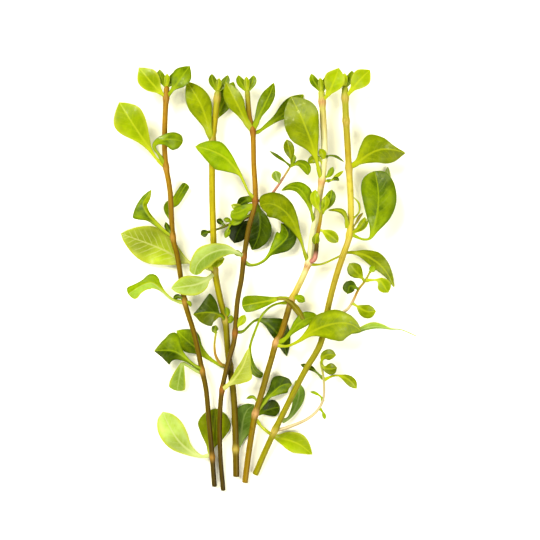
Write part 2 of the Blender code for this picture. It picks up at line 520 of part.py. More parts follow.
def make_shoot(name):
    stem, radius, colour, route = SHOOTS[name]
    base_radius = stem_radius(stem, route[0][1])
    line = smooth_route(route)
    line = clear_of(line, smooth_route(STEMS[stem][3]), base_radius + JOINT_GAP)
    length = sum((b - a).length for a, b in zip(line, line[1:]))
    points = even_points(line, math.ceil(length / TWIG_STEP) + 1)
    radii = [radius * (1 - 0.4 * k / (len(points) - 1)) for k in range(len(points))]
    return tube(name, points, radii, colour, 1)


def make_leaf(name):
    """A flat grid bent along the leaf's route, then thickened."""
    stem, colour, lifts, route = LEAVES[name]
    base_radius = stem_radius(stem, route[0][1])
    line = smooth_route(route)
    line = clear_of(line, smooth_route(STEMS[stem][3]), base_radius + JOINT_GAP)
    spine = even_points(line, LEAF_ROWS)
    mesh = bpy.data.meshes.new(name)
    shape = bmesh.new()
    bmesh.ops.create_grid(shape, x_segments=LEAF_COLUMNS, y_segments=LEAF_ROWS - 1, size=1)
    for vertex in shape.verts:
        across = vertex.co.x
        hand = 1 if across > 0 else 0
        row = round((vertex.co.y + 1) / 2 * (LEAF_ROWS - 1))
        along = (spine[min(row + 1, LEAF_ROWS - 1)].xyz - spine[max(row - 1, 0)].xyz).normalized()
        side = along.cross(UP).normalized()
        reach = abs(across) * max(spine[row][3 + hand], LEAST_REACH)
        out = reach if hand else -reach
        place = spine[row].xyz + side * out + UP * (reach * lifts[hand])
        vertex.co = place * MM
    shape.to_mesh(mesh)
    shape.free()
    mesh.materials.append(material(name, COLOURS[colour], 0.4))
    obj = bpy.data.objects.new(name, mesh)
    bpy.context.scene.collection.objects.link(obj)
    thickness = obj.modifiers.new("Thickness", "SOLIDIFY")
    thickness.thickness = LEAF_THICKNESS * MM
    thickness.offset = 0
    mesh.shade_smooth()
    return obj


def clear_scene():
    for obj in list(bpy.data.objects):
        bpy.data.objects.remove(obj)


def main():
    clear_scene()
    pieces = [make_stem(name) for name in STEMS]
    pieces += [make_shoot(name) for name in SHOOTS]
    pieces += [make_leaf(name) for name in LEAVES]
    shift = Vector((-DRAWING_MIDDLE[0], -DRAWING_MIDDLE[1], -DRAWING_LOWEST)) * MM
    for piece in pieces:
        piece.location = shift


main()
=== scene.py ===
"""A bunch of five cut ludwigia stems with their leaves and side shoots, lying on a pale surface.

The camera looks straight down on it. Routes and widths are in millimetres, in the same drawing as the
solids, and SHIFT takes them to the frame.
"""

import math
import random

import bmesh
import bpy
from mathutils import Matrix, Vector


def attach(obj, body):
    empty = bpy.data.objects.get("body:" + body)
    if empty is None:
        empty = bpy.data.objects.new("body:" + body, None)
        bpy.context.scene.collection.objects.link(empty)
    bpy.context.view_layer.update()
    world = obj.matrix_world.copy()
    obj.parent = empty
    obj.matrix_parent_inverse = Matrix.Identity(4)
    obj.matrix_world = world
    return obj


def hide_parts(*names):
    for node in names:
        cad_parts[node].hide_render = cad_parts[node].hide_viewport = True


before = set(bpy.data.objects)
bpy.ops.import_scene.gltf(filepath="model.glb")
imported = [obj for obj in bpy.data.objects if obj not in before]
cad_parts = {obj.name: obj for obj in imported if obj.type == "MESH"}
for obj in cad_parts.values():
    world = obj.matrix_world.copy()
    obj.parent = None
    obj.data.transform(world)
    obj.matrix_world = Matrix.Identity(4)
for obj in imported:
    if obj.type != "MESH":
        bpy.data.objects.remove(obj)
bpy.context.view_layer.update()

MM = 0.001
UP = Vector((0, 0, 1))
SHIFT = Vector((-8.07, 4.44, -0.5))
BODY = "root"

# How finely the shapes are drawn: faces around, rows along, and millimetres from row to row.
LEAF_ROUND = 36
LEAF_ROWS = 52
SMALL_LEAF_ROUND = 16
SMALL_LEAF_ROWS = 16
STEM_ROUND = 20
STEM_STEP = 1.1
TWIG_STEP = 0.8

# Stems and twigs: how much a node swells and how far along, and the share of its radius a twig loses.
NODE_SWELL = 1.26
NODE_REACH = 1.8
TWIG_TAPER = 0.4

# Leaf stalks. A leaf's flare starts STALK_CLEARANCE outside its stem's skin, and a small leaf's after its
# first bare millimetres.
PETIOLE_HALF_WIDTH = 0.7
PETIOLE_HALF_THICKNESS = 0.42
STALK_CLEARANCE = 0.9
SMALL_LEAF_BARE = 0.6
TIP_LEAF_BARE = 1.2
SMALL_LEAF_SEED = 100
NARROWEST_SHARE = 0.5
STEEPEST_ROLL = 30
TIP_SEED = 300

# Leaf blades. One of FULL_WIDTH or more has all the relief, a narrower one less of it.
BLADE_HALF_THICKNESS = 0.13
FULL_WIDTH = 14
MIDRIB_HEIGHT = 0.32
MIDRIB_WIDTH = 0.5
GROOVE_DEPTH = 0.14
WAVE_HEIGHT = 0.45
WAVE_LENGTH = 11.0
QUILT_HEIGHT = 0.06
VEIN_SPACING = 3.6
VEIN_LEAN = 1.05

# Finishes: the millimetres in one unit of the map "mm", how wet the wettest spots are, the share of light
# that passes through a leaf, what share of the light falling on them leaves and stems give back, and how
# much painted shade a stem's sides take.
UV_SPAN = 50.0
WET_SHARE = 0.6
THROUGH_SHARE = 0.34
SEEN_SHARE = 0.63
STEM_SHARE = 0.48
# stem_d's skins are made paler all over, partly for its cream skin and partly as painted light against the
# shade the leaf above casts on it.
PALE_STEM_LIFT = {"stem_d": 1.25}
SIDE_SHADE_DEPTHS = {"stem_brown": 0.9, "stem_olive": 0.9, "stem_gold": 0.4, "side_shoot": 0.5}
PALE_RIM = "D0D838"
UNDERSIDE_VEINS = 0.4

# The room and the camera, which stands above the middle of the photograph and just takes in its width.
WALL_LIGHT = 1.3
CEILING_LIGHT = 0.32
KEY_LIGHT = 5.9
FILL_LIGHT = 3.6
FLOOR_REACH = 3
PHOTO_WIDTH = 270
PHOTO_MIDDLE = Vector((10, 0, 0.5))
CAMERA_HEIGHT = 900
BUNCH_MIDDLE_HEIGHT = 8.25

# The colours of stems' skins, and how far on either side of a node the stem takes on the node's colour.
SKINS = {
    "umber": "504008", "brown": "786008", "bronze": "987808", "amber": "C09020", "olive": "807008",
    "moss": "A8A008", "yellow": "D0C018", "gold": "D0B838", "straw": "F0E058", "wheat": "E0D080",
    "cream": "FFFCC8", "shell": "F0DCB0", "tan": "C89840", "sand": "E0C860", "rust": "B87830",
    "blush": "D8A870", "pink": "E8A090", "sprout": "B8C038", "leafy": "708818",
}
NODE_BAND = 3

# Each stem: its radius at the cut end and at the tip, its slot, its route from cut end to tip, the heights
# along Y of its nodes, its skins at heights along Y, and the skin at its nodes.
STEMS = {
    "stem_a": (
        1.25, 1.4, "stem_brown",
        [(-18, -109, 1.8), (-19.2, -92, 4), (-20.7, -75, 5.4), (-22, -60.5, 6), (-24, -50.5, 6.2),
         (-28, -32, 6.4), (-32.8, -15.5, 6.6), (-36.3, 6.5, 7), (-38.7, 17, 7.2), (-40, 39, 8),
         (-42, 51.5, 8.4), (-42.7, 62, 8.8), (-42.4, 77, 9), (-41.6, 92, 9)],
        (-94, -50.5, -15.5, 17, 51.5, 86),
        [(-109, "umber"), (-55, "brown"), (10, "bronze"), (60, "amber"), (92, "amber")],
        "tan",
    ),
    "stem_b": (
        1.6, 1.6, "stem_olive",
        [(-7, -104, 2.1), (-7.2, -90, 3.2), (-7.6, -75.5, 4.4), (-8.5, -61, 4.4), (-10.2, -48.5, 4),
         (-11.2, -40.5, 4), (-12.5, -25, 5.6), (-15, -14.5, 6.4), (-17.7, 0, 7), (-18.3, 14.5, 7.4),
         (-18.9, 36, 7.8), (-19, 53, 8), (-18.8, 64.5, 8), (-17.4, 77, 8), (-16, 90, 8)],
        (-90, -48.5, -25, 0, 64.5, 86),
        [(-104, "brown"), (-55, "olive"), (-18, "moss"), (10, "yellow"), (75, "yellow"), (90, "sprout")],
        "sand",
    ),
    "stem_c": (
        1.2, 1.35, "stem_brown",
        [(-13.6, -111, 1.8), (-15, -93, 4), (-15.2, -75, 6), (-14, -60, 7.2), (-11, -46.5, 8.2),
         (-8.5, -38, 8.4), (-7.5, -31.5, 8.4), (-6.3, -16, 8.6), (-4.2, -4, 8.8), (-3, 6.5, 9),
         (-0.6, 21, 9.2), (2.6, 35, 9.4), (1.9, 53, 9.4), (1.4, 69.5, 9.4), (-0.4, 77, 9.2), (-1.4, 90, 9)],
        (-60, -31.5, 6.5, 35, 69.5),
        [(-111, "umber"), (-50, "brown"), (22, "brown"), (42, "amber"), (75, "amber"), (90, "sprout")],
        "rust",
    ),
    "stem_d": (
        1.5, 1.65, "stem_gold",
        [(-2.6, -107, 2), (-1, -94, 3.4), (1, -81, 5), (2.6, -72.3, 5.6), (6, -61, 6), (8.5, -52, 6.4),
         (10.6, -45, 6.6), (13, -36.5, 6.8), (15.8, -31.5, 7), (20.6, -15.5, 7.4), (23.6, -9.5, 7.6),
         (29.2, 3.5, 8), (31.2, 16.5, 8.2), (33.4, 28.5, 8.4), (35.8, 44, 8.8), (37.2, 58, 9),
         (36.5, 77, 9), (35.6, 90, 8.8)],
        (-72.3, -36.5, -15.5, 3.5, 45, 84),
        # The brown band near -21 is painted shade, where the bent bronze leaf lies over the stem.
        [(-107, "bronze"), (-50, "olive"), (-30, "bronze"), (-21, "brown"), (-11, "gold"), (9, "cream"),
         (24, "cream"), (40, "wheat"), (60, "cream"), (75, "wheat"), (90, "sprout")],
        "blush",
    ),
    "stem_e": (
        1.5, 1.65, "stem_gold",
        [(2.6, -103, 2), (7, -92.5, 3.6), (12.4, -80.5, 5.8), (16, -73, 6.8), (22, -61, 7.8),
         (28, -49.5, 8.4), (35.3, -36.5, 9), (39.3, -17.5, 9.2), (42.5, -5, 9.3), (46.2, 6.5, 9.4),
         (49.7, 17.5, 9.5), (50.4, 32, 9.6), (49.3, 53, 9.6), (47.9, 77, 9.4), (47.4, 92, 9)],
        (-80, -26, 17.5, 51, 74.5, 86),
        [(-103, "moss"), (-32, "moss"), (8, "gold"), (30, "straw"), (45, "straw"), (60, "gold"),
         (92, "sprout")],
        "sand",
    ),
}

# Each side shoot: its radius at its foot, its skins from foot to tip, and its route out from the stem.
SHOOTS = {
    "side_shoot_pink": (
        0.85,
        [(0, "rust"), (0.6, "pink"), (1, "sprout")],
        [(2.6, 34.5, 9.4), (6, 34.8, 6.6), (9.5, 36.5, 5.6), (14.5, 43, 6.6), (21, 53, 8)],
    ),
    "side_shoot_d": (
        1.3,
        [(0, "pink"), (0.2, "pink"), (0.3, "umber"), (0.5, "olive"), (0.7, "amber"), (1, "sprout")],
        [(29.4, 4.2, 8), (32, 5.2, 10.4), (33, 9.5, 12), (33.6, 17, 12.8), (35, 24.5, 13.6),
         (35.6, 30, 14)],
    ),
    "side_shoot_e_upper": (
        0.85,
        [(0, "shell"), (0.4, "shell"), (0.6, "tan"), (1, "sprout")],
        [(38, -24, 9.2), (42.5, -23, 7), (48.3, -20, 7.6), (51.2, -16, 9), (54, -10, 10.6),
         (57.4, -5.3, 12), (60, -0.5, 12.6)],
    ),
    "side_shoot_e_lower": (
        0.95,
        [(0, "shell"), (0.7, "shell"), (1, "sprout")],
        [(12.4, -80.5, 5.8), (19, -79, 5), (28.7, -74.8, 5), (34.5, -69.5, 5.6), (37, -63, 6.4),
         (36.8, -54, 7.6), (35.5, -46.8, 8.4)],
    ),
    "side_shoot_b": (
        0.85,
        [(0, "gold"), (0.5, "tan"), (1, "sprout")],
        [(-10.2, -48.5, 4), (-14, -47.6, 5.8), (-17, -43.5, 7), (-17.8, -37.5, 7.6), (-17, -31, 7.6)],
    ),
    "side_shoot_c": (
        0.8,
        [(0, "rust"), (0.3, "olive"), (1, "leafy")],
        [(0.9, 28, 9.3), (-3, 25.5, 6), (-9, 23.5, 4.6), (-15, 21, 4.4), (-21, 19, 4.6)],
    ),
}

# Each leaf, with its stem's letter in its name: its tone, how steeply its halves rise from the midrib, and
# its midrib's route to the tip with the reach of its halves at each point past the stalk. Where two values
# are given, they are the left half's and the right half's; two tones paint one half lighter and the other
# darker, painted light and shade for halves that catch the light differently.
LEAVES = {
    "leaf_a1_left": ("lime", (0.2, 0.3), [
        (-43, 52, 8.4), (-47, 56, 9.4), (-50, 60.5, 10.2, 1.3, 1.2), (-53.5, 65.5, 10.8, 3.2, 4),
        (-58.5, 73, 11, 8.2, 7.2), (-62, 78.5, 10, 7.2, 6.6), (-65.5, 84, 8, 0.4),
    ]),
    "leaf_a1_front": ("green", (-0.2, -0.35), [
        (-42.6, 52.5, 8.6), (-45, 57, 11), (-47.6, 61, 13.6, 1, 0.9), (-46, 63.6, 15.6, 1.5, 1.6),
        (-42.5, 64.6, 16.8, 2.6, 2.8), (-38.6, 64.8, 16.4, 3.6, 5.2), (-35.4, 64.4, 14.6, 3.2, 4.2),
        (-33.4, 63.9, 12.4, 1.6, 2),
    ]),
    "leaf_a2_left": (("green", "olive"), (0.35, 0.2), [
        (-39, 17, 7.2), (-43.5, 20.2, 8.4, 0.9, 0.8), (-49.5, 26, 10, 2.4, 1.3), (-52, 29.5, 11, 7.2, 1.6),
        (-53.2, 32.8, 12.4, 2.8, 2.2), (-51.2, 36.5, 13.2, 1.8, 2), (-49, 40, 13, 0.3),
    ]),
    "leaf_a2_back": ("green", 0.1, [
        (-38.5, 17.5, 6.6), (-39.5, 24, 4.2), (-40, 31, 3, 3.6, 1.2), (-37.5, 34.5, 2.8, 2.4, 2.2),
        (-34.5, 39.5, 2.8, 2.2, 2.4), (-32, 43.5, 3.2, 1.8, 2.2),
    ]),
    "leaf_a3_left": (("misty", "fresh"), (-0.2, 0.3), [
        (-33, -16.5, 6.6), (-39, -14.6, 8), (-43, -11, 9.2, 0.8), (-46, -8.2, 10, 1.8, 2.2),
        (-49, -6.3, 10.6, 3.5, 4.5), (-52.5, -7, 10.8, 3.1, 2.5), (-56, -8.8, 10.4, 3.4, 2.3),
        (-59, -10.8, 9.4, 4.2, 3), (-61, -12, 8.2, 3, 2.4),
    ]),
    "leaf_a4_upper": (("dark", "green"), (-0.5, -0.12), [
        (-23.6, -50.4, 6.4), (-27.5, -48, 8.4, 0.8), (-32, -44.6, 10, 1.4), (-36, -41.6, 11, 4, 3.6),
        (-39, -40.4, 11, 7.2, 9.4), (-42.5, -40.2, 9.8, 5.3, 5.8), (-45.5, -40.4, 8, 2.7, 3),
        (-48.2, -40.6, 5.8, 0.3),
    ]),
    "leaf_a4_hanging": ("misty", (0.15, 0.1), [
        (-23.5, -51.8, 6), (-28, -49.8, 6.4), (-32, -47.4, 6.6, 0.8), (-33.8, -47, 6.6, 1),
        (-34.6, -49.4, 6, 1.8, 2), (-35.4, -53, 5, 2.8, 3.4), (-36.2, -57.4, 3.4, 3.8, 4.5),
        (-36.8, -60.8, 2, 3.8, 4.2),
    ]),
    "leaf_a5_left": ("pale", 0.1, [
        (-19.4, -93, 3.8), (-25, -93.6, 3.4, 0.9), (-31, -90.6, 3, 2.8), (-36, -86, 2.6, 5.8),
        (-40, -80, 2.2, 6.6), (-42.6, -74.8, 1.8, 4.6), (-44, -71.4, 1.4, 0.8),
    ]),
    "leaf_a5_under": ("olive", 0.05, [
        (-19.4, -95, 3.4), (-19.9, -90, 1.8, 1.6), (-19, -84, 1.4, 5.6), (-18.2, -78.4, 1.3, 8.2),
        (-17.8, -73.6, 1.3, 6.4, 6.6), (-17.6, -69.8, 1.3, 2),
    ]),
    "leaf_a6_left": ("lime", 0.2, [
        (-41.9, 86, 9), (-44.6, 88.6, 10, 0.9), (-48.4, 92.6, 11, 4.6), (-52, 96.8, 10.8, 5),
        (-55.6, 101.2, 9, 0.4),
    ]),
    "leaf_a6_right": ("green", 0.2, [
        (-41.5, 86.4, 9), (-38.6, 90, 11, 0.9), (-35.6, 94, 12, 4.2), (-32.8, 98, 11.4, 4.4),
        (-30, 102, 9.6, 0.4),
    ]),
    "leaf_b1_left": ("olive", (0.2, -0.3), [
        (-18.9, 64.6, 8.6, 0.8), (-20, 68.4, 10, 1.6, 1.2), (-21, 72.4, 11, 2.8, 2),
        (-22.4, 77, 11.4, 4.8, 3.6), (-24.6, 82.6, 11.2, 6.4, 5.6), (-28, 88.6, 10, 5, 4.8),
        (-31.6, 94.4, 8, 0.4),
    ]),
    "leaf_b1_right": ("green", 0.1, [
        (-18.6, 64.8, 7.6), (-17.8, 70, 5, 0.8), (-17.2, 76, 4, 1), (-14.4, 82, 3.2, 3.6),
        (-11, 88.6, 2.2, 4.4), (-8.4, 95, 1.2, 0.4),
    ]),
    "leaf_b2_left": ("veined", 0.08, [
        (-17.7, 0, 7), (-24, 1.6, 5.2), (-31, 4, 4.2, 0.9), (-37, 6.6, 3.6, 4.6, 4.2),
        (-43, 9.8, 3.2, 8, 7.4), (-50, 12.8, 2.8, 9.4, 9.2), (-56.5, 15.2, 2.4, 7.6, 7.4),
        (-62, 17.2, 1.8, 3.8, 3.6), (-65.4, 18.4, 1.2, 0.3),
    ]),
    "leaf_b2_front": ("pale", (0.1, 0.15), [
        (-17.4, -1.4, 7), (-20.5, -4, 9.6, 1), (-23.5, -6, 10.8, 3.8, 3.2), (-27.5, -7.4, 11.2, 5.2, 4.7),
        (-32.5, -8.2, 11.2, 4.5, 5), (-36.5, -8.8, 10.8, 2.7, 3), (-39.4, -9.2, 10.4, 0.4),
    ]),
    "leaf_b3_left": (("moss", "dark"), (-0.15, -0.45), [
        (-12.4, -25.4, 6.4), (-14.4, -22.9, 9, 0.7, 0.8), (-15.8, -21.9, 11, 4.4, 1.2),
        (-17, -21.4, 12, 6.6, 3.8), (-18.6, -21.1, 12.6, 7), (-20.5, -21, 13, 6.8, 9.3),
        (-22.2, -21, 13, 6.5, 6.4), (-24.2, -21.2, 12.8, 5.6, 3.6), (-26.4, -21.6, 12, 3.6, 1.4),
        (-28.2, -22.2, 11, 0.8, 0.4),
    ]),
    "leaf_b4_left": ("green", 0.1, [
        (-10.6, -48.8, 4), (-15.5, -47.6, 2.8, 0.8), (-20.5, -44.6, 2.2, 1), (-25.5, -40.6, 2, 2.4, 2.6),
        (-29.5, -37.4, 2.2, 5, 6), (-33, -34.4, 2.2, 4.6, 6.2), (-35.8, -31.6, 2, 1.6, 2.6),
        (-37, -30.4, 1.8, 0.3),
    ]),
    "leaf_b5_up": ("sea", 0.05, [
        (-7, -91, 3.4), (-5.4, -86.5, 1.8, 1.4), (-4.4, -81, 1.4, 4.4, 4.6), (-3.4, -75, 1.3, 6),
        (-1.4, -70.6, 1.4, 3.8, 3.6), (2, -67.8, 1.5, 0.6),
    ]),
    "leaf_c1_left": ("olive", 0.2, [
        (1.2, 69.6, 9.4, 0.9), (-1.5, 73.5, 11.4, 1.4), (-4, 78, 12.6, 2.6, 2.4), (-6.6, 83, 12.6, 4.6, 4),
        (-9.5, 88.6, 11.4, 4.2, 3.6), (-12, 94, 9, 0.4),
    ]),
    "leaf_c1_middle": ("green", (0.3, 0.1), [
        (1.6, 70, 9.6, 0.8), (3.2, 73.4, 10.8, 1.2, 1), (5, 77.6, 11.6, 2.4, 1.6),
        (7.4, 82.6, 11.8, 3.6, 3), (10, 88, 11, 3.2, 2.8), (12, 93.6, 9, 0.4),
    ]),
    "leaf_c1_right": ("green", (0.3, 0.1), [
        (1.6, 68.4, 9.2), (4.6, 69.4, 8.2), (8.6, 72.4, 6.8, 1.3, 1), (13.4, 76, 5.2, 2.2, 1.6),
        (18.4, 80, 3.8, 4.2, 3.6), (23, 84.4, 2.4, 4, 3.6), (27, 88.6, 1.2, 0.4),
    ]),
    "leaf_c2_left": ("fresh", (-0.15, 0.15), [
        (2.4, 35.6, 9.4), (-0.5, 38.6, 11.2, 0.6), (-2.7, 43, 12.8), (-5, 47.5, 13.8, 1),
        (-8, 51.5, 14.6, 4.3, 1.9), (-12, 55.5, 15, 7.4, 3.8), (-16.5, 58.2, 14.8, 6.8, 5.7),
        (-21.5, 60.2, 13.8, 4.6, 4.2), (-25, 61.1, 12.4, 2.2), (-27.4, 61.5, 11, 0.3),
    ]),
    "leaf_c2_behind": ("dark", 0.05, [
        (2.4, 34.4, 9, 0.8), (4, 30.6, 6.4, 1.2), (5, 26, 4.6, 4, 4.4), (5, 21, 3.6, 6),
        (4, 16.4, 2.8, 5.4, 5.6), (2.4, 12.6, 2.2, 3, 3.4), (0.8, 10, 1.8, 0.5),
    ]),
    "leaf_c2_glossy": ("green", (-0.1, 0.2), [
        (1.8, 32, 9.6, 0.8), (-1.4, 31, 11, 2.2, 2), (-4.8, 29.2, 11.4, 4.2, 3), (-7.8, 28.4, 11, 3.6, 2.4),
        (-9.6, 29, 10.4, 1.2),
    ]),
    "leaf_c2_upper": ("dark", 0.1, [
        (1.6, 35.4, 9), (-1.4, 35, 8.4, 1.6, 2), (-3.6, 33.8, 7.8, 2.6, 2.8), (-5.6, 32.4, 7.2, 1.6),
        (-7.2, 31.4, 6.8, 0.4),
    ]),
    "leaf_c3_left": (("misty", "pale"), 0.1, [
        (-3.2, 7, 9.4), (-7, 8.8, 11.8, 1), (-12, 10, 13.4, 3, 2.8), (-17.5, 9, 14.4, 4.2, 4.4),
        (-22.5, 6.4, 14.8, 5.4), (-26.2, 2.4, 14.4, 4.4, 3.8), (-27.6, -2.4, 13.4, 2.6, 2.4),
    ]),
    "leaf_c3_right": (("green", "dark"), (0.15, 0.1), [
        (-3.4, 5, 8.8), (-0.6, 2.6, 7.6), (3.4, 2.8, 6.6), (7.4, 5, 6, 0.8), (10, 8, 5.6, 1.2),
        (13, 10.8, 5, 3.2), (16.6, 14, 4.4, 5.6, 5.2), (19, 17.4, 3.8, 5.4, 4.6), (18, 20.8, 3.2, 3.6, 2.2),
        (15.4, 23.6, 2.8, 0.5),
    ]),
    "leaf_c4_right": ("dark", 0.05, [
        (-7.2, -31.2, 8.4, 0.6), (-3.4, -30.6, 7.4, 0.6), (1, -26.4, 6.4, 0.6), (4, -25, 5.6, 0.9, 0.8),
        (7.6, -26.2, 4.6, 2.4, 1.4), (11.6, -29.6, 3.6, 7, 2.6), (14.6, -33.2, 2.8, 6.2, 3),
        (17, -37.6, 2.2, 3.4, 2.7), (18.5, -43.6, 1.4, 0.3),
    ]),
    "leaf_c5_right": ("straw", (0.2, -0.25), [
        (-14.2, -60.4, 7.2), (-10.4, -57, 10.4, 1), (-7.5, -53.8, 12, 1.6, 4.4), (-5, -50.4, 13, 2.3, 7),
        (-3, -46.8, 13.6, 2, 3.8), (-1.3, -42, 13.8, 1.2, 1.6), (-0.5, -38.6, 13.6, 0.3),
    ]),
    "leaf_d1_top": ("olive", (-0.05, 0.15), [
        (35.4, 45.6, 9.6), (34.2, 50.4, 11.2, 0.8), (32.8, 56, 12.4, 1.2), (31.4, 61, 12.8, 3.6, 2.8),
        (29.5, 66.5, 13, 8.4, 5.2), (27.5, 71.5, 12.8, 9.6, 7.3), (25.5, 76.5, 12, 9.2, 8.8),
        (23, 81.5, 10.6, 6.6, 7), (20.4, 87, 8.4, 0.4),
    ]),
    "leaf_d1_arched": ("green", (-0.2, 0.2), [
        (32, 24, 9), (30.8, 28.6, 11), (29, 33.5, 12.6, 1.2, 2), (27, 37.5, 13.4, 2, 4.2),
        (24, 40.5, 13.6, 2, 3.5), (20, 41.3, 12.8, 1.6, 1.8), (15.6, 39.6, 11, 0.3),
    ]),
    "leaf_d2_left": ("moss", (-0.1, 0.15), [
        (29, 3.8, 8.4), (27, 9.5, 10.6), (25.5, 14.5, 11.8, 0.9), (23.5, 20, 12.6, 2.5, 1.5),
        (20.5, 25.5, 13, 4.3, 3.5), (17, 29.5, 13, 5.5), (12.5, 32.4, 12.6, 6.7, 6.2), (8, 33, 11.8, 6, 5),
        (5, 32, 10.8, 3, 2.8),
    ]),
    "leaf_d2_right": ("olive", 0.1, [
        (29.8, 2.6, 8, 0.5), (36, 3, 6.4, 0.5), (43, 6, 5.2, 0.5), (48.5, 8.6, 5.2), (53, 8.5, 5.8, 1.2, 1),
        (57.5, 7.5, 6.4, 2.8, 2.4), (62, 5, 6.4, 4.6, 3.4), (66, 1.8, 5.8, 4, 3.2),
        (69.5, -2.7, 4.4, 2.3, 1.8), (72.6, -8.8, 2, 0.3),
    ]),
    "leaf_d3_lime": ("fresh", (0.15, 0.2), [
        (20.6, -15, 7.6), (16, -14, 9.4, 0.8, 0.9), (12.5, -14.7, 10.2, 1.2, 1.4),
        (7.5, -15.7, 10.6, 2.6, 2.8), (2.5, -16.6, 10.6, 3.6, 4), (-1.5, -17.4, 10, 3.8, 4.4),
        (-4, -17.9, 9.4, 2.8),
    ]),
    "leaf_d3_thin": ("green", 0.1, [
        (20.4, -16.4, 7.4, 0.6), (14, -16.8, 7.6, 0.6), (9.4, -19, 8, 0.6), (5.6, -23.4, 8.2, 0.6),
        (2.6, -30.4, 8, 0.6), (0, -38.6, 6.6), (0.4, -46, 5, 1.4, 1.6), (2.4, -51, 3.6, 2),
        (6.4, -53.4, 2.6, 1.4, 1.6),
    ]),
    "leaf_d4_fold": ("green", 0.1, [
        (13.2, -36.6, 7), (17, -34.8, 9.4, 0.9), (20.5, -31, 10.8, 1.2, 1.4), (24, -27, 11.4, 2.6, 3),
        (27.5, -24.6, 11.6, 3.8, 3.2), (31, -23.4, 11.4, 2.6, 2.4), (34, -23, 11, 0.5),
    ]),
    "leaf_d4_right": ("olive", (0.12, -0.05), [
        (12.8, -37.6, 7), (18.5, -38, 10), (24.5, -35.2, 13.2, 0.9), (29.5, -31.4, 15, 2.4, 2),
        (34, -29, 15.8, 6.2, 4.8), (38.5, -27.4, 16, 6.8, 7.6), (43, -26.4, 15.8, 6.9, 9),
        (48, -26.4, 15, 4.8, 8.6), (52, -27.8, 13.8, 2.6, 5.6), (55.4, -30.4, 12.2, 0.4),
    ]),
    "leaf_d5_up": (("dark", "green"), (0.1, -0.2), [
        (3.2, -71.6, 5.8), (6, -67.4, 5, 0.9), (9, -63.6, 4.6, 1.4), (12.2, -60.6, 4.4, 3.4, 3),
        (15, -58.4, 4.2, 5.6, 4.4), (18.4, -57.2, 4, 3.4, 4.2), (21.2, -57.4, 3.6, 0.6, 0.8),
    ]),
    "leaf_d5_under": ("dark", 0.05, [
        (2.6, -73, 5.2), (5.4, -71.8, 2.8, 0.9), (8.6, -70.6, 1.6, 3.2, 3), (12, -69.6, 1.2, 4.2, 4),
        (15, -69, 1.1, 2.2),
    ]),
    "leaf_d5_right": ("lime", 0.1, [
        (2.4, -74.4, 5.4), (7, -80, 3), (13, -84, 2.2, 1.4), (19, -85.6, 2, 4.4), (25, -88, 1.8, 5),
        (31.4, -93, 1.2, 0.4),
    ]),
    "leaf_d6_right": ("lime", 0.2, [
        (36.1, 84.2, 9), (38.8, 87.6, 10.8, 0.9), (41, 92, 12, 4.4), (42.8, 96.4, 11.6, 4.8),
        (44.4, 101, 10, 0.4),
    ]),
    "leaf_e2_right": ("olive", (0.1, -0.05), [
        (49.6, 51.2, 9.6, 0.8), (53.5, 53.6, 11.2, 1.5), (58, 56.8, 12.4, 5.6, 4.2), (62, 59, 13, 8.8, 6.2),
        (66, 60.1, 13, 6.4, 7.2), (70, 60.1, 12.4, 3, 7), (74, 59.4, 11.4, 1.2, 5.2),
        (77.6, 58.2, 10, 0.6, 0.8),
    ]),
    "leaf_e3_right": ("green", 0.12, [
        (50, 18.4, 9.6, 0.6), (53.4, 16.4, 10.6, 0.6), (57, 15.2, 11, 0.6), (60, 16, 11.2, 0.8),
        (61.6, 20.4, 11.6, 2, 2.8), (63.2, 27, 12.2, 5.6, 6.8), (64, 34, 12.6, 7.8, 8.8),
        (63.8, 40.4, 12.2, 8.6), (63, 45.6, 11.2, 7.4, 6.8), (62.2, 49.4, 10, 4),
    ]),
    "leaf_e3_behind": ("pale", 0.1, [
        (50, 19, 9.2, 0.6), (56, 22, 6, 0.6), (62, 30, 4.6, 1), (66, 38, 3.8, 2.6), (68.6, 46, 3, 2.2),
        (69.4, 52, 2, 0.4),
    ]),
    "leaf_e3_left": ("olive", 0.1, [
        (48.6, 21, 10), (48, 25.4, 12.2, 0.9), (46.4, 28.6, 13.4, 1.3, 1.4), (43.4, 29.8, 13.6, 1),
        (39, 29.8, 12.6, 0.3),
    ]),
    "leaf_e4_right": (("misty", "sea"), (0.4, -0.2), [
        (38.6, -28, 9.2), (46, -31, 7, 0.8), (53, -31, 7.4, 1.2, 0.9), (57, -29.6, 8.2, 2, 0.9),
        (61.5, -28.6, 8.4, 2.6, 0.9), (66, -28.8, 8, 1.8, 0.6), (70.5, -29.6, 7.2, 0.6, 0.4),
        (76, -30, 5.6, 0.3), (84, -33.4, 2.2, 0.25),
    ]),
    "leaf_e5_right": ("sea", 0.05, [
        (16.2, -76, 6), (19.6, -74.2, 3.2, 0.9), (22.4, -70, 2.4, 1.8), (24.2, -65.4, 1.9, 3, 2.8),
        (24.6, -61, 1.6, 3.4, 2.8), (23, -55.4, 1.3, 0.5),
    ]),
    "leaf_e6_left": ("lime", 0.2, [
        (47.8, 86.2, 9.2), (50.6, 89.6, 11, 0.9), (53.6, 93.4, 12, 4), (56.8, 96.8, 11.6, 4.4),
        (60, 100, 9.6, 0.4),
    ]),
}

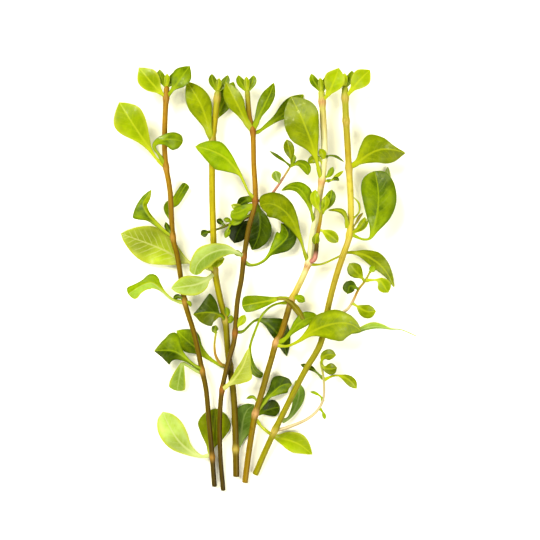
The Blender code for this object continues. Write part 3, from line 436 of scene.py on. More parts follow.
# The small leaves, by the stem or twig they grow from: for each leaf its tone, greatest width, the degrees
# it is rolled about its midrib and its halves are folded up, the share of its length that is petiole, and
# its route.
SMALL_LEAVES = {
    "side_shoot_pink": [
        ("dark", 3.6, (70, 10), 0.1, [(20.2, 52, 8), (17, 54.6, 9), (13.5, 57, 9), (9.8, 59.5, 8)]),
        ("moss", 5.4, (0, 14), 0.1, [(21, 53.5, 8.2), (20.4, 57, 9.5), (19.4, 61, 10), (18.4, 65.4, 9)]),
        ("green", 5.5, (30, 12), 0.1, [(20.4, 52, 8), (24.5, 53.4, 9), (28, 51.4, 9), (29, 47.4, 7.5)]),
        ("misty", 5, (0, 25), 0.1, [(14.9, 43.6, 6.8), (13.6, 46, 8), (12.6, 49.8, 8)]),
        ("green", 2.4, (0, 30), 0.1, [(20.8, 52.6, 8.2), (21.8, 55, 9.8), (22.2, 57.6, 10)]),
    ],
    "side_shoot_d": [
        ("lime", 5, (0, 14), 0.15, [(35.6, 28, 13.6), (33.4, 31.5, 15), (32.2, 36, 15.4),
         (32.6, 40, 14.6)]),
        ("green", 5.5, (0, 14), 0.15, [(35.8, 28, 13.6), (38.2, 31.6, 15.2), (40, 36, 15.4),
         (40.8, 40, 14)]),
        ("lime", 4, (0, 20), 0.1, [(35.8, 29.5, 14), (37.5, 33, 16), (37.6, 37, 16.4)]),
        ("green", 2, (0, 30), 0.1, [(35.8, 29.6, 14), (36, 32, 15.6), (35.6, 34.4, 16)]),
        ("lime", 5.9, (11, 11), 0.12, [(34.4, 20, 13), (37, 19, 14.2), (40.5, 16.8, 14.4),
         (44, 13.8, 12.6)]),
        ("olive", 4, (0, 14), 0.15, [(34.3, 19, 13), (33, 16.6, 14.2), (32.6, 12.4, 13)]),
    ],
    "stem_d": [
        ("olive", 4, (0, 16), 0.15, [(36.9, 54, 9.2), (36.4, 57.4, 11.4), (34.6, 60.4, 11.8)]),
        ("dark", 2.6, (60, 10), 0.2, [(37.2, 54.5, 9.4), (39, 57, 10.4), (43, 56.6, 10.6), (47, 54, 9.6)]),
        ("olive", 4, (0, 16), 0.2, [(36.6, 52.5, 9.4), (34, 55.6, 11), (30.5, 54.6, 10.6),
         (29.6, 53, 9.6)]),
        ("green", 3, (0, 16), 0.2, [(36, 45.5, 9), (39.4, 47.4, 10), (41.6, 51.5, 10.6)]),
        ("lime", 2, (0, 16), 0.3, [(36, 45, 9), (40, 44.5, 9.6), (43.4, 47, 9.6), (46.8, 49.6, 9)]),
        ("dark", 2, (0, 16), 0.3, [(38.6, 44.4, 9.4), (41, 45, 9.6), (43, 45.6, 9.8), (44.6, 44.6, 9.4)]),
        ("green", 4, (0, 16), 0.2, [(20.6, -15.4, 7.6), (23.6, -13.8, 9), (27.6, -15.8, 8.6)]),
        ("bronze", 3.4, (5, 11), 0.05, [(13.6, -14.6, 11.4), (17, -14.6, 12.2), (20.4, -16.4, 12.4),
         (24, -20.6, 12.2), (27.6, -26, 11.4)]),
        ("green", 1.8, (0, 16), 0.2, [(4.4, -67, 5.8), (1.6, -63.6, 7.4), (-2, -64.4, 7)]),
    ],
    "stem_e": [
        ("olive", 2.2, (60, 12), 0.2, [(50.4, 25, 9.6), (54.2, 28.4, 11.4), (54.4, 33, 11.6),
         (51.6, 36.4, 11)]),
        ("olive", 3, (0, 16), 0.15, [(50.2, 18.4, 9.8), (53.6, 20.4, 11.4), (56, 23.4, 12),
         (57.6, 26.4, 11)]),
        ("bronze", 1.6, (0, 16), 0.2, [(50.6, 20, 10), (53, 23.6, 11.6), (54.6, 26.6, 12),
         (56.6, 28.6, 11.6)]),
        ("lime", 2.6, (0, 16), 0.2, [(50.2, 17.6, 9.8), (54, 19.6, 10.8), (57, 22, 11), (59, 24.6, 10.4)]),
    ],
    "side_shoot_e_upper": [
        ("moss", 7.5, (-10, 14), 0.15, [(57.2, -5.6, 12), (55, -3, 13), (52.4, -0.4, 13),
         (49.4, 3.4, 11.6)]),
        ("green", 3.4, (0, 18), 0.1, [(59.6, -1.2, 12.6), (60.8, 0.4, 13.2), (62, 2, 12.8)]),
        ("lime", 7.5, (20, 14), 0.35, [(57.6, -5.2, 12), (61, -5, 13.4), (65, -5.6, 13.4),
         (69, -11.4, 11)]),
        ("dark", 6.5, (0, 14), 0.15, [(54.2, -9.6, 10.8), (52.4, -8.6, 12), (49.8, -8, 12),
         (48.6, -12, 10.4)]),
        ("olive", 7, (0, 14), 0.2, [(51, -16.6, 9), (53.4, -18, 10.6), (58, -20.6, 11.4),
         (63, -20.6, 10.4)]),
    ],
    "side_shoot_e_lower": [
        ("moss", 5.6, (0, 14), 0.15, [(35.6, -46.8, 8.4), (36.6, -43.4, 9.8), (39.4, -42.2, 10.2),
         (43, -42.6, 9.4)]),
        ("moss", 6, (0, 14), 0.15, [(35.8, -47.4, 8.2), (37.4, -49, 9.4), (40.4, -49.4, 9.8),
         (43.6, -48.8, 9)]),
        ("olive", 5, (0, 14), 0.4, [(36.9, -55, 7.5), (42, -52.8, 8.6), (46, -53.2, 8.8), (50, -55.4, 8.4),
         (53.4, -59.4, 6.8)]),
        ("dark", 3, (0, 14), 0.3, [(36.6, -54.4, 7.4), (33.6, -51.6, 6.4), (30.5, -49.2, 5.6),
         (25.2, -47.4, 5)]),
        ("green", 1.6, (0, 14), 0.3, [(36.6, -66, 6), (35.4, -63.4, 7), (32.6, -61.6, 7), (30, -61, 6.6)]),
        ("green", 2, (0, 14), 0.3, [(34.8, -69.2, 5.8), (36.6, -71.6, 6.4), (37.6, -75, 6)]),
    ],
    "side_shoot_b": [
        ("green", 3.6, (0, 16), 0.1, [(-17, -31.6, 7.6), (-17.6, -30, 8.6), (-17, -27.6, 8.6)]),
    ],
    "stem_b": [
        ("green", 3, (0, 16), 0.15, [(-12.5, -24.6, 6), (-11.4, -21.6, 7.4), (-12, -18.4, 7.6)]),
        ("green", 3, (0, 16), 0.15, [(-12, -26, 6), (-10, -25.6, 7), (-9.4, -22.6, 7.4)]),
        ("lime", 7, (0, 16), 0.15, [(-17.2, -1, 7.6), (-19.8, 1.4, 10), (-17.6, 4.4, 11.6),
         (-12.6, 5.6, 11.4)]),
    ],
    "stem_c": [
        ("lime", 4, (0, 16), 0.15, [(-7, -29, 8.6), (-4.6, -26, 9.6), (-2.4, -22.4, 9.4)]),
        ("green", 3, (0, 16), 0.15, [(-3.4, 6.4, 9.2), (-5.4, 8, 11), (-8.4, 9.4, 11)]),
        ("lime", 4, (0, 16), 0.2, [(1, 30.4, 9.4), (-1, 30, 9.6), (-5, 30.6, 9.8), (-9.5, 32.6, 8.6)]),
        ("green", 5, (0, 16), 0.2, [(1, 28, 9.2), (-1, 27, 9.2), (-5, 26, 9.6), (-9.6, 22.6, 8.6)]),
        # This near-black leaf is painted shade: its tone stands for the deep shade it lies in.
        ("deep", 9.6, (0, 12), 0.12, [(0, 24.4, 9), (-1.6, 24, 7.6), (-3.4, 22.8, 6.6), (-6, 19, 5.4),
         (-8, 13.4, 4.6)]),
    ],
    "side_shoot_c": [
        ("dark", 3, (0, 14), 0.15, [(-13, 22.4, 4.6), (-14.6, 24, 5.4), (-16.8, 25.4, 5)]),
        ("dark", 4, (0, 14), 0.15, [(-20.4, 19.2, 4.6), (-22, 18.8, 5.4), (-24.8, 17.6, 5)]),
        ("green", 2.6, (0, 14), 0.15, [(-9.4, 23.6, 4.8), (-11, 25, 6), (-13.4, 25.4, 5.6)]),
        ("green", 3, (0, 14), 0.15, [(-10, 23, 4.8), (-10.8, 20, 6), (-12.6, 16, 5.4)]),
    ],
    "stem_a": [
        ("dark", 2.6, (0, 16), 0.15, [(-33.4, -14.6, 7), (-36, -13.2, 8.8), (-38.4, -14.4, 9)]),
        ("green", 2, (0, 16), 0.15, [(-32.4, -15.6, 7), (-30.4, -16.4, 8), (-29.6, -18.4, 8)]),
        ("dark", 2.6, (0, 16), 0.15, [(-39, 17.6, 7.6), (-41, 20.4, 8.8), (-42.2, 24, 9)]),
    ],
}

# The tones of the leaves: upper side, its patches, its underside, its veins, how strongly its side veins
# show, and its slot. "dark" and "deep" are partly painted shade: they go to leaves and halves that lie in
# shade, and "deep" to one near-black leaf in deep shade.
TONES = {
    "lime": ("B6CA06", "9AB200", "BECB3C", "DAE428", 0.16, "leaf_lime"),
    "fresh": ("A0BA04", "7A9800", "B0C438", "D2DE26", 0.14, "leaf_lime"),
    "olive": ("A8B802", "7C9000", "A6B028", "CED81C", 0.16, "leaf_olive"),
    "moss": ("92A000", "607400", "98A420", "B8C416", 0.18, "leaf_olive"),
    "green": ("A0BA06", "5E7C00", "9CB02C", "B8CE1C", 0.16, "leaf_green"),
    "dark": ("586E02", "364E00", "6C860F", "84A00C", 0.2, "leaf_dark"),
    "deep": ("243400", "121C00", "3C5004", "44580A", 0.2, "leaf_dark"),
    "pale": ("D2EA80", "B8D24C", "D0E298", "E6F0A4", 0.16, "leaf_pale"),
    "straw": ("E2F058", "CEE03C", "DCE27C", "F2F490", 0.2, "leaf_pale"),
    "misty": ("B4D054", "98B830", "B8CC74", "CCE080", 0.2, "leaf_pale"),
    "veined": ("C6D83C", "AABE18", "C4D468", "E8EC90", 0.5, "leaf_pale"),
    "sea": ("84A63A", "648620", "92AE54", "AAC468", 0.2, "leaf_green"),
    "bronze": ("8C8408", "6A5C04", "98903C", "B4AC40", 0.15, "leaf_olive"),
}


def spline_point(a, b, c, d, t):
    """A point of the smooth curve from b to c, with a and d as its neighbours."""
    return 0.5 * (
        2 * b + (c - a) * t + (2 * a - 5 * b + 4 * c - d) * t**2 + (3 * b - a - 3 * c + d) * t**3
    )


def smooth_route(route, pieces=10):
    """Close-set points of the smooth curve through the route's points."""
    points = [Vector(p) for p in route]
    ends = [2 * points[0] - points[1], *points, 2 * points[-1] - points[-2]]
    line = []
    for i in range(len(points) - 1):
        for k in range(pieces):
            line.append(spline_point(*ends[i : i + 4], k / pieces))
    line.append(points[-1])
    return line


def lengths_along(line):
    """How far each of the line's points is from its start, along the line."""
    lengths = [0.0]
    for a, b in zip(line, line[1:]):
        lengths.append(lengths[-1] + (b.xyz - a.xyz).length)
    return lengths


def points_at(line, distances):
    """The line's points at these distances from its start."""
    lengths = lengths_along(line)
    result = []
    i = 0
    for wanted in distances:
        while i < len(line) - 2 and lengths[i + 1] < wanted:
            i += 1
        share = (wanted - lengths[i]) / (lengths[i + 1] - lengths[i])
        result.append(line[i].lerp(line[i + 1], share))
    return result


def even_points(route, step):
    """Points of the smooth curve along the route, about this many millimetres apart."""
    line = smooth_route(route)
    total = lengths_along(line)[-1]
    rows = round(total / step)
    return points_at(line, [total * row / (rows - 1) for row in range(rows)])


def growth_frames(spine):
    """For each point of the spine: where its upper side faces, and its level right side."""
    frames = []
    last = len(spine) - 1
    for i in range(len(spine)):
        along = (spine[min(i + 1, last)].xyz - spine[max(i - 1, 0)].xyz).normalized()
        side = along.cross(UP).normalized()
        frames.append((side.cross(along), side))
    return frames


def smooth_step(value, low, high):
    """0 up to low, 1 from high on, and a smooth rise between."""
    share = min(max((value - low) / (high - low), 0), 1)
    return share * share * (3 - 2 * share)


def both_halves(value):
    """What holds for a leaf's left and right half, which are alike unless two values are given."""
    return value if isinstance(value, tuple) else (value, value)


def with_reach(point):
    """The route point with the reach of both halves: the stalk's where none is given."""
    x, y, z, *reach = point
    reach = reach or [PETIOLE_HALF_WIDTH]
    return x, y, z, reach[0], reach[-1]


def stem_radius(stem, y):
    """The stem's radius at this height along Y, with a swelling at each node."""
    cut_radius, tip_radius, _, route, nodes, *_ = STEMS[stem]
    share = (y - route[0][1]) / (route[-1][1] - route[0][1])
    radius = cut_radius + (tip_radius - cut_radius) * share
    nearest = min(abs(y - node) for node in nodes)
    return radius * (1 + (NODE_SWELL - 1) * math.exp(-((nearest / NODE_REACH) ** 2)))


def new_piece(name):
    """An empty shape, with a map of shares and a map of millimetres."""
    shape = bmesh.new()
    return name, shape, shape.loops.layers.uv.new("share"), shape.loops.layers.uv.new("mm")


def rolled_skin(piece, around, rows, place, slots):
    """A grid rolled into a closed tube. place(angle, row) gives a point, its shares across and along,
    and its millimetres across and along. slots holds the material slots of its upper and lower faces, on
    its left half and then on its right half."""
    _, shape, shares, millimetres = piece
    grid = bmesh.ops.create_grid(shape, x_segments=around, y_segments=rows - 1, size=1)
    told = {}
    for vertex in grid["verts"]:
        angle = math.pi * vertex.co.x
        row = round((vertex.co.y + 1) / 2 * (rows - 1))
        point, *told[vertex] = place(angle, row)
        told[vertex].append(angle)
        vertex.co = (point + SHIFT) * MM
    for face in {face for vertex in grid["verts"] for face in vertex.link_faces}:
        middle = sum(told[vertex][4] for vertex in face.verts) / len(face.verts)
        right = 2 if abs(middle) < math.pi / 2 else 0
        face.material_index = slots[right if middle > 0 else right + 1]
        face.smooth = True
        for loop in face.loops:
            across, along, across_mm, along_mm, _ = told[loop.vert]
            loop[shares].uv = ((across + 1) / 2, along)
            loop[millimetres].uv = (0.5 + across_mm / UV_SPAN, along_mm / UV_SPAN)
    seam = [vertex for vertex in grid["verts"] if abs(told[vertex][4]) > math.pi - 0.001]
    bmesh.ops.remove_doubles(shape, verts=seam, dist=1e-7)


def finished_piece(piece, materials, end_slot=0):
    """The piece's open ends are closed, its faces turned outwards, and it is made an object."""
    name, shape, _, _ = piece
    for end in bmesh.ops.holes_fill(shape, edges=shape.edges, sides=0)["faces"]:
        end.material_index = end_slot
    bmesh.ops.recalc_face_normals(shape, faces=shape.faces)
    mesh = bpy.data.meshes.new(name)
    shape.to_mesh(mesh)
    shape.free()
    for finish in materials:
        mesh.materials.append(finish)
    obj = bpy.data.objects.new(name, mesh)
    bpy.context.scene.collection.objects.link(obj)
    return obj


def round_shoot(piece, spine, radii):
    """A stem or twig of round section, with a radius at each point of the spine."""
    frames = growth_frames(spine)
    lengths = lengths_along(spine)

    def place(angle, row):
        face, side = frames[row]
        radius = radii[row]
        point = spine[row] + (side * math.cos(angle) + face * math.sin(angle)) * radius
        return point, math.cos(angle), lengths[row] / lengths[-1], angle * radius, lengths[row]

    rolled_skin(piece, STEM_ROUND, len(spine), place, (0, 0, 0, 0))


def plain_outline(route, width, petiole):
    """A small leaf's route with the reach of its halves, which is greatest just past its middle."""
    line = smooth_route(route, 6)
    lengths = lengths_along(line)
    outlined = []
    for point, length in zip(line, lengths):
        blade = (length / lengths[-1] - petiole) / (1 - petiole)
        reach = width / 2 * math.sin(math.pi * min(max(blade, 0), 1) ** 1.25) ** 0.7
        reach = max(reach, PETIOLE_HALF_WIDTH * (1 - 0.75 * blade) * 0.7)
        outlined.append(Vector((*point, reach, reach)))
    return outlined


def leaf_skin(piece, lifts, line, bare, around, rows, slots, seed):
    """A leaf along the line, whose points hold the reach of its left and right half. The first bare
    millimetres of the line are hidden inside the stem. slots holds what rolled_skin's slots hold."""
    wave = random.Random(seed)
    # Only the first two of these are used, one for each half.
    phases = [wave.uniform(0, 2 * math.pi) for _ in range(4)]
    lengths = [wave.uniform(0.8, 1.3) * WAVE_LENGTH for _ in range(2)]
    measured = lengths_along(line)
    total = measured[-1]
    width = max(point[3] + point[4] for point in line)
    opens = min(length for point, length in zip(line, measured) if point[3] + point[4] > 0.3 * width)
    stalk_end = max(bare, opens - 0.08 * total)
    # The rows lie closer together towards the tip.
    spine = points_at(line, [total * (1 - (1 - row / (rows - 1)) ** 1.25) for row in range(rows)])
    places = lengths_along(spine)
    frames = growth_frames(spine)
    size = min(width / FULL_WIDTH, 1)
    round_end = min(2.2, 0.16 * width + 0.3)

    def place(angle, row):
        face, side = frames[row]
        along_mm = places[row]
        blade_share = (along_mm - stalk_end) / (total - stalk_end)
        turned = math.cos(angle)
        half = max(spine[row][4] if turned > 0 else spine[row][3], 0.25)
        # The stalk is thick and round, and flares where it grows out of the stem.
        stalk = 1 - smooth_step(spine[row][3] + spine[row][4], 1.5, 4.4) if blade_share < 0.4 else 0
        half_thickness = BLADE_HALF_THICKNESS + (PETIOLE_HALF_THICKNESS - BLADE_HALF_THICKNESS) * stalk
        half_thickness *= 0.5 + 0.5 * size
        flare = 1 + 0.5 * stalk * math.exp(-((max(along_mm - bare, 0) / 1.4) ** 2))
        half *= flare
        half_thickness *= flare
        to_end = (total - along_mm) / round_end
        if to_end < 1:
            half *= math.sqrt(max(1 - (1 - to_end) ** 2, 0.001))
        across = math.copysign(abs(turned) ** 1.3, turned)
        up = math.copysign(abs(math.sin(angle)) ** 0.7, math.sin(angle))
        out = across * half
        # The midrib is a groove above and a ridge below, and fades towards the tip.
        on_blade = math.sin(math.pi * min(max(blade_share, 0), 1)) ** 0.6
        rib = math.exp(-((out / MIDRIB_WIDTH) ** 2)) * (1 - stalk) * (1 - 0.7 * max(blade_share, 0)) * size
        height = up * half_thickness
        height += -GROOVE_DEPTH * rib if up > 0 else MIDRIB_HEIGHT * rib * up
        # The rims wave and the blade swells between the side veins.
        hand = 0 if across < 0 else 1
        swing = math.sin(2 * math.pi * along_mm / lengths[hand] + phases[hand])
        height += WAVE_HEIGHT * size * on_blade * abs(across) ** 1.6 * swing
        quilting = math.sin(2 * math.pi * (along_mm - VEIN_LEAN * abs(out)) / VEIN_SPACING)
        height += QUILT_HEIGHT * size * on_blade * quilting * math.sin(math.pi * abs(across))
        spread = math.sqrt(out * out + 0.25) - 0.5
        point = spine[row].xyz + side * out + UP * (spread * lifts[hand]) + face * height
        return point, across, blade_share, out, along_mm

    rolled_skin(piece, around, rows, place, slots)


def linear(hex_colour, share=1):
    """An sRGB hex value as linear light, times a share."""
    values = [int(hex_colour[i : i + 2], 16) / 255 for i in (0, 2, 4)]
    return (*(share * (v / 12.92 if v < 0.04045 else ((v + 0.055) / 1.055) ** 2.4) for v in values), 1)


def seen(hex_colour):
    """The leaf finish that looks like this colour on a floor lit past white."""
    return linear(hex_colour, SEEN_SHARE)


def stem_stops(name):
    """A stem's colours by share of its length from the cut end, with a band of another at each node."""
    _, _, _, route, nodes, skins, node_skin = STEMS[name]
    share = STEM_SHARE * PALE_STEM_LIFT.get(name, 1)
    plain = [(y, linear(SKINS[skin], share)) for y, skin in skins]
    stops = list(plain)
    for node in nodes:
        stops.append((node, linear(SKINS[node_skin], share)))
        for edge in (node - NODE_BAND, node + NODE_BAND):
            for (low, first), (high, last) in zip(plain, plain[1:]):
                if low <= edge < high:
                    mix = (edge - low) / (high - low)
                    stops.append((edge, tuple(a + (b - a) * mix for a, b in zip(first, last))))
    low, high = route[0][1], route[-1][1]
    return [((y - low) / (high - low), colour) for y, colour in sorted(stops)]


def add(tree, kind, inputs=None, stops=None, out=0, **settings):
    """Adds a node with its settings, its inputs' values or links and its colour stops. Returns one output."""
    node = tree.nodes.new("ShaderNode" + kind)
    for name, value in settings.items():
        setattr(node, name, value)
    for key, value in (inputs or {}).items():
        if isinstance(value, bpy.types.NodeSocket):
            tree.links.new(value, node.inputs[key])
        else:
            node.inputs[key].default_value = value
    if stops:
        ramp = node.color_ramp.elements
        while len(ramp) < len(stops):
            ramp.new(0.5)
        for element, (place, colour) in zip(ramp, stops):
            element.position = place
            element.color = colour
    return node if out is None else node.outputs[out]


def new_material(name):
    """A material with an empty node tree, and that tree."""
    made = bpy.data.materials.new(name)
    made.use_nodes = True
    tree = made.node_tree
    tree.nodes.clear()
    return made, tree


def leaf_material(name, colour, patch, vein, veins_show, rim_tint_and_shade, underside):
    """Living leaf tissue: a waxy, slightly shiny skin over green cells that let light through.
    The midrib and the curved side veins show as paler lines, and the skin sinks along them. Shade is painted
    beside the midrib and, on most tones, along the margins."""
    made, tree = new_material(name)
    share = add(tree, "SeparateXYZ", {0: add(tree, "UVMap", uv_map="share")})
    along = share.node.outputs[1]
    mm = add(tree, "SeparateXYZ", {0: add(tree, "UVMap", uv_map="mm")})
    along_mm = add(tree, "Math", {0: mm.node.outputs[1], 1: UV_SPAN}, operation="MULTIPLY")
    centred = add(tree, "Math", {0: mm, 1: 0.5}, operation="SUBTRACT")
    across_mm = add(tree, "Math", {0: centred, 1: UV_SPAN}, operation="MULTIPLY")
    off_mm = add(tree, "Math", {0: across_mm}, operation="ABSOLUTE")
    centred_share = add(tree, "Math", {0: share, 1: 0.5}, operation="SUBTRACT")
    off_share = add(tree, "Math", {0: centred_share}, operation="ABSOLUTE")
    place = add(tree, "TexCoord", out=3)

    # The midrib is about 1.3 mm wide at the petiole and 0.4 mm near the tip.
    rib_half = add(tree, "MapRange", {"Value": along, "To Min": 0.62, "To Max": 0.16})
    rib_rest = add(tree, "Math", {0: off_mm, 1: rib_half}, operation="DIVIDE")
    rib = add(tree, "MapRange", {
        "Value": rib_rest, "From Min": 0.55, "From Max": 1.5, "To Min": 1, "To Max": 0,
    }, interpolation_type="SMOOTHSTEP")
    # The side veins leave the midrib about every 3.6 mm and curve towards the tip.
    wander = add(tree, "TexNoise", {"Vector": place, "Scale": 260, "Detail": 1})
    drift = add(tree, "Math", {0: wander, 1: 1.6}, operation="MULTIPLY")
    lean = add(tree, "Math", {0: off_mm, 1: VEIN_LEAN}, operation="MULTIPLY")
    start = add(tree, "Math", {0: along_mm, 1: lean}, operation="SUBTRACT")
    turn = add(tree, "Math", {0: across_mm}, operation="SIGN")
    offset = add(tree, "Math", {0: turn, 1: 0.22 * VEIN_SPACING, 2: drift}, operation="MULTIPLY_ADD")
    start = add(tree, "Math", {0: start, 1: offset}, operation="ADD")
    vein_far = add(tree, "Math", {0: start, 1: VEIN_SPACING / 2}, operation="PINGPONG")
    side_vein = add(tree, "MapRange", {
        "Value": vein_far, "From Min": 0.05, "From Max": 0.5, "To Min": 1, "To Max": 0,
    }, interpolation_type="SMOOTHSTEP")
    to_rim = add(tree, "MapRange", {
        "Value": off_share, "From Min": 0.22, "From Max": 0.47, "To Min": 1, "To Max": 0,
    })
    on_blade = add(tree, "MapRange", {"Value": along, "From Max": 0.12})
    for fade in (to_rim, on_blade):
        side_vein = add(tree, "Math", {0: side_vein, 1: fade}, operation="MULTIPLY")
    # The finest veins make a net with meshes of about 1 mm.
    net = add(tree, "TexVoronoi", {"Vector": place, "Scale": 900}, feature="DISTANCE_TO_EDGE")
    net = add(tree, "MapRange", {"Value": net, "From Max": 0.14, "To Min": 1, "To Max": 0})

    # Patches of about 7 mm, and larger shifts of tone from leaf to leaf over about 24 mm.
    patches = add(tree, "TexNoise", {"Vector": place, "Scale": 140, "Detail": 3, "Roughness": 0.6})
    patches = add(tree, "MapRange", {"Value": patches, "From Min": 0.38, "From Max": 0.66})
    shift = add(tree, "TexNoise", {"Vector": place, "Scale": 42, "Detail": 1})
    shift = add(tree, "MapRange", {
        "Value": shift, "From Min": 0.34, "From Max": 0.66, "To Min": 0.72, "To Max": 1.3,
    })
    # Painted shade beside the midrib: the blade is darker there and lighter towards its thin margins, which
    # light shines through.
    midrib_shade = add(tree, "MapRange", {
        "Value": off_share, "From Min": 0.04, "From Max": 0.42, "To Min": 0.35, "To Max": 0,
    }, interpolation_type="SMOOTHSTEP")
    patches = add(tree, "Math", {0: patches, 1: 0.85, 2: midrib_shade}, operation="MULTIPLY_ADD", use_clamp=True)
    skin = add(tree, "Mix", {"Factor": patches, 6: colour, 7: patch}, data_type="RGBA", out=2)
    skin = add(tree, "HueSaturation", {"Value": shift, "Color": skin})
    # The blade is yellower where it runs down into the petiole, and all its veins show in that colour.
    young = add(tree, "MapRange", {
        "Value": along, "From Min": -0.05, "From Max": 0.32, "To Min": 0.85, "To Max": 0,
    }, interpolation_type="SMOOTHSTEP")
    side_shows = add(tree, "Math", {0: side_vein, 1: veins_show}, operation="MULTIPLY")
    net_shows = add(tree, "Math", {0: net, 1: 0.10}, operation="MULTIPLY")
    rib_shows = add(tree, "Math", {0: rib, 1: 0.8 if underside else 0.6}, operation="MULTIPLY")
    for shows in (young, side_shows, net_shows, rib_shows):
        skin = add(tree, "Mix", {"Factor": shows, 6: skin, 7: vein}, data_type="RGBA", out=2)
    # The margin keeps a pale tint on a young or pale leaf; on the others it is painted darker, a painted
    # shade where the margin curves down.
    edge = add(tree, "MapRange", {"Value": off_share, "From Min": 0.34, "From Max": 0.492, "To Max": 0.85})
    skin = add(tree, "Mix", {"Factor": edge, 6: skin, 7: rim_tint_and_shade}, data_type="RGBA", out=2)

    uneven = add(tree, "TexNoise", {"Vector": place, "Scale": 220, "Detail": 2})
    smoothest, roughest = (0.42, 0.55) if underside else (0.2, 0.36)
    gloss = add(tree, "MapRange", {
        "Value": uneven, "From Min": 0.3, "From Max": 0.7, "To Min": smoothest, "To Max": roughest,
    })
    # Side veins sink on the upper side and stand out on the underside.
    sunk = add(tree, "Math", {0: side_vein, 1: 0.8 if underside else -0.35}, operation="MULTIPLY")
    relief = add(tree, "Math", {0: net, 1: -0.12, 2: sunk}, operation="MULTIPLY_ADD")
    relief = add(tree, "Math", {0: uneven, 1: 0.4, 2: relief}, operation="MULTIPLY_ADD")
    normal = add(tree, "Bump", {"Strength": 0.4, "Distance": 0.0002, "Height": relief})
    # Here and there a film of water, in spots of about 2 mm, is left on the upper side and glints.
    wet = add(tree, "TexNoise", {"Vector": place, "Scale": 450, "Detail": 1})
    wet = add(tree, "MapRange", {
        "Value": wet, "From Min": 0.57, "From Max": 0.63, "To Max": WET_SHARE,
    }, interpolation_type="SMOOTHSTEP")
    film = add(tree, "Bump", {"Strength": 0.8, "Distance": 0.0006, "Height": wet})
    shader = add(tree, "BsdfPrincipled", {
        "Base Color": skin, "Roughness": gloss, "Metallic": 0, "IOR": 1.4, "Normal": normal,
        "Specular IOR Level": 0.1 if underside else 0.16,
        "Coat Weight": 0.0 if underside else wet, "Coat Roughness": 0.12, "Coat IOR": 1.33,
        "Coat Normal": film,
    })
    glow = add(tree, "HueSaturation", {"Saturation": 1.08, "Value": 1.25, "Color": skin})
    through = add(tree, "BsdfTranslucent", {"Color": glow, "Normal": normal})
    mixed = add(tree, "MixShader", {0: THROUGH_SHARE, 1: shader, 2: through})
    add(tree, "OutputMaterial", {"Surface": mixed}, out=None)
    return made


def shoot_material(name, stops, side_shade_depth):
    """A living herb stem: a smooth, faintly ribbed green skin, flushed orange and brown by the light it grew
    in, so it is shiny like wax, with fine lengthwise lines, darker flecks and painted shade along its sides."""
    made, tree = new_material(name)
    share = add(tree, "SeparateXYZ", {0: add(tree, "UVMap", uv_map="share")})
    skin = add(tree, "ValToRGB", {0: share.node.outputs[1]}, stops=stops)
    # Lengthwise fibres about 0.5 mm apart and 15 mm long.
    stretched = add(tree, "Mapping", {0: add(tree, "UVMap", uv_map="mm"), 3: (1, 0.035, 1)})
    fibres = add(tree, "TexNoise", {"Vector": stretched, "Scale": 105, "Detail": 2})
    fibre_light = add(tree, "MapRange", {
        "Value": fibres, "From Min": 0.32, "From Max": 0.68, "To Min": 0.78, "To Max": 1.16,
    })
    skin = add(tree, "HueSaturation", {"Value": fibre_light, "Color": skin})
    # Painted shade: the skin is darker and more saturated along the stem's two sides, most of all on its
    # right, the side away from the key lamp.
    sides = add(tree, "ValToRGB", {0: share}, stops=[
        (0, (0.6, 0.6, 0.6, 1)), (0.15, (0.05, 0.05, 0.05, 1)), (0.55, (0, 0, 0, 1)),
        (0.85, (0.75, 0.75, 0.75, 1)), (1, (1, 1, 1, 1)),
    ])
    sides = add(tree, "Math", {0: sides, 1: side_shade_depth}, operation="MULTIPLY")
    side_shade_colour = add(tree, "HueSaturation", {"Hue": 0.485, "Saturation": 1.5, "Value": 0.6, "Color": skin})
    skin = add(tree, "Mix", {"Factor": sides, 6: skin, 7: side_shade_colour}, data_type="RGBA", out=2)
    # Brown flecks of about 2 mm.
    flecks = add(tree, "TexNoise", {"Vector": add(tree, "TexCoord", out=3), "Scale": 420, "Detail": 3})
    flecks = add(tree, "MapRange", {"Value": flecks, "From Min": 0.56, "From Max": 0.72, "To Max": 0.4})
    brown = add(tree, "HueSaturation", {"Hue": 0.48, "Saturation": 1.1, "Value": 0.55, "Color": skin})
    skin = add(tree, "Mix", {"Factor": flecks, 6: skin, 7: brown}, data_type="RGBA", out=2)
    normal = add(tree, "Bump", {"Strength": 0.6, "Distance": 0.0001, "Height": fibres})
    gloss = add(tree, "MapRange", {
        "Value": fibres, "From Min": 0.3, "From Max": 0.7, "To Min": 0.28, "To Max": 0.42,
    })
    shader = add(tree, "BsdfPrincipled", {
        "Base Color": skin, "Roughness": gloss, "Metallic": 0, "IOR": 1.42, "Normal": normal,
        "Specular IOR Level": 0.1,
    })
    add(tree, "OutputMaterial", {"Surface": shader}, out=None)
    return made


def cut_material():
    """A stem's cut end: wet, pale green pith of open cells, so it is lighter and duller than the skin."""
    made, tree = new_material("cut_pith")
    # Cells of about 0.3 mm.
    cells = add(tree, "TexVoronoi", {"Vector": add(tree, "TexCoord", out=3), "Scale": 3200}, feature="F1")
    tone = add(tree, "MapRange", {"Value": cells, "From Max": 0.6})
    skin = add(tree, "Mix", {"Factor": tone, 6: seen("D8D29A"), 7: seen("A8A458")}, data_type="RGBA", out=2)
    normal = add(tree, "Bump", {"Strength": 0.5, "Distance": 0.0001, "Height": cells})
    shader = add(tree, "BsdfPrincipled", {
        "Base Color": skin, "Roughness": 0.5, "Metallic": 0, "IOR": 1.38, "Normal": normal,
    })
    add(tree, "OutputMaterial", {"Surface": shader}, out=None)
    return made


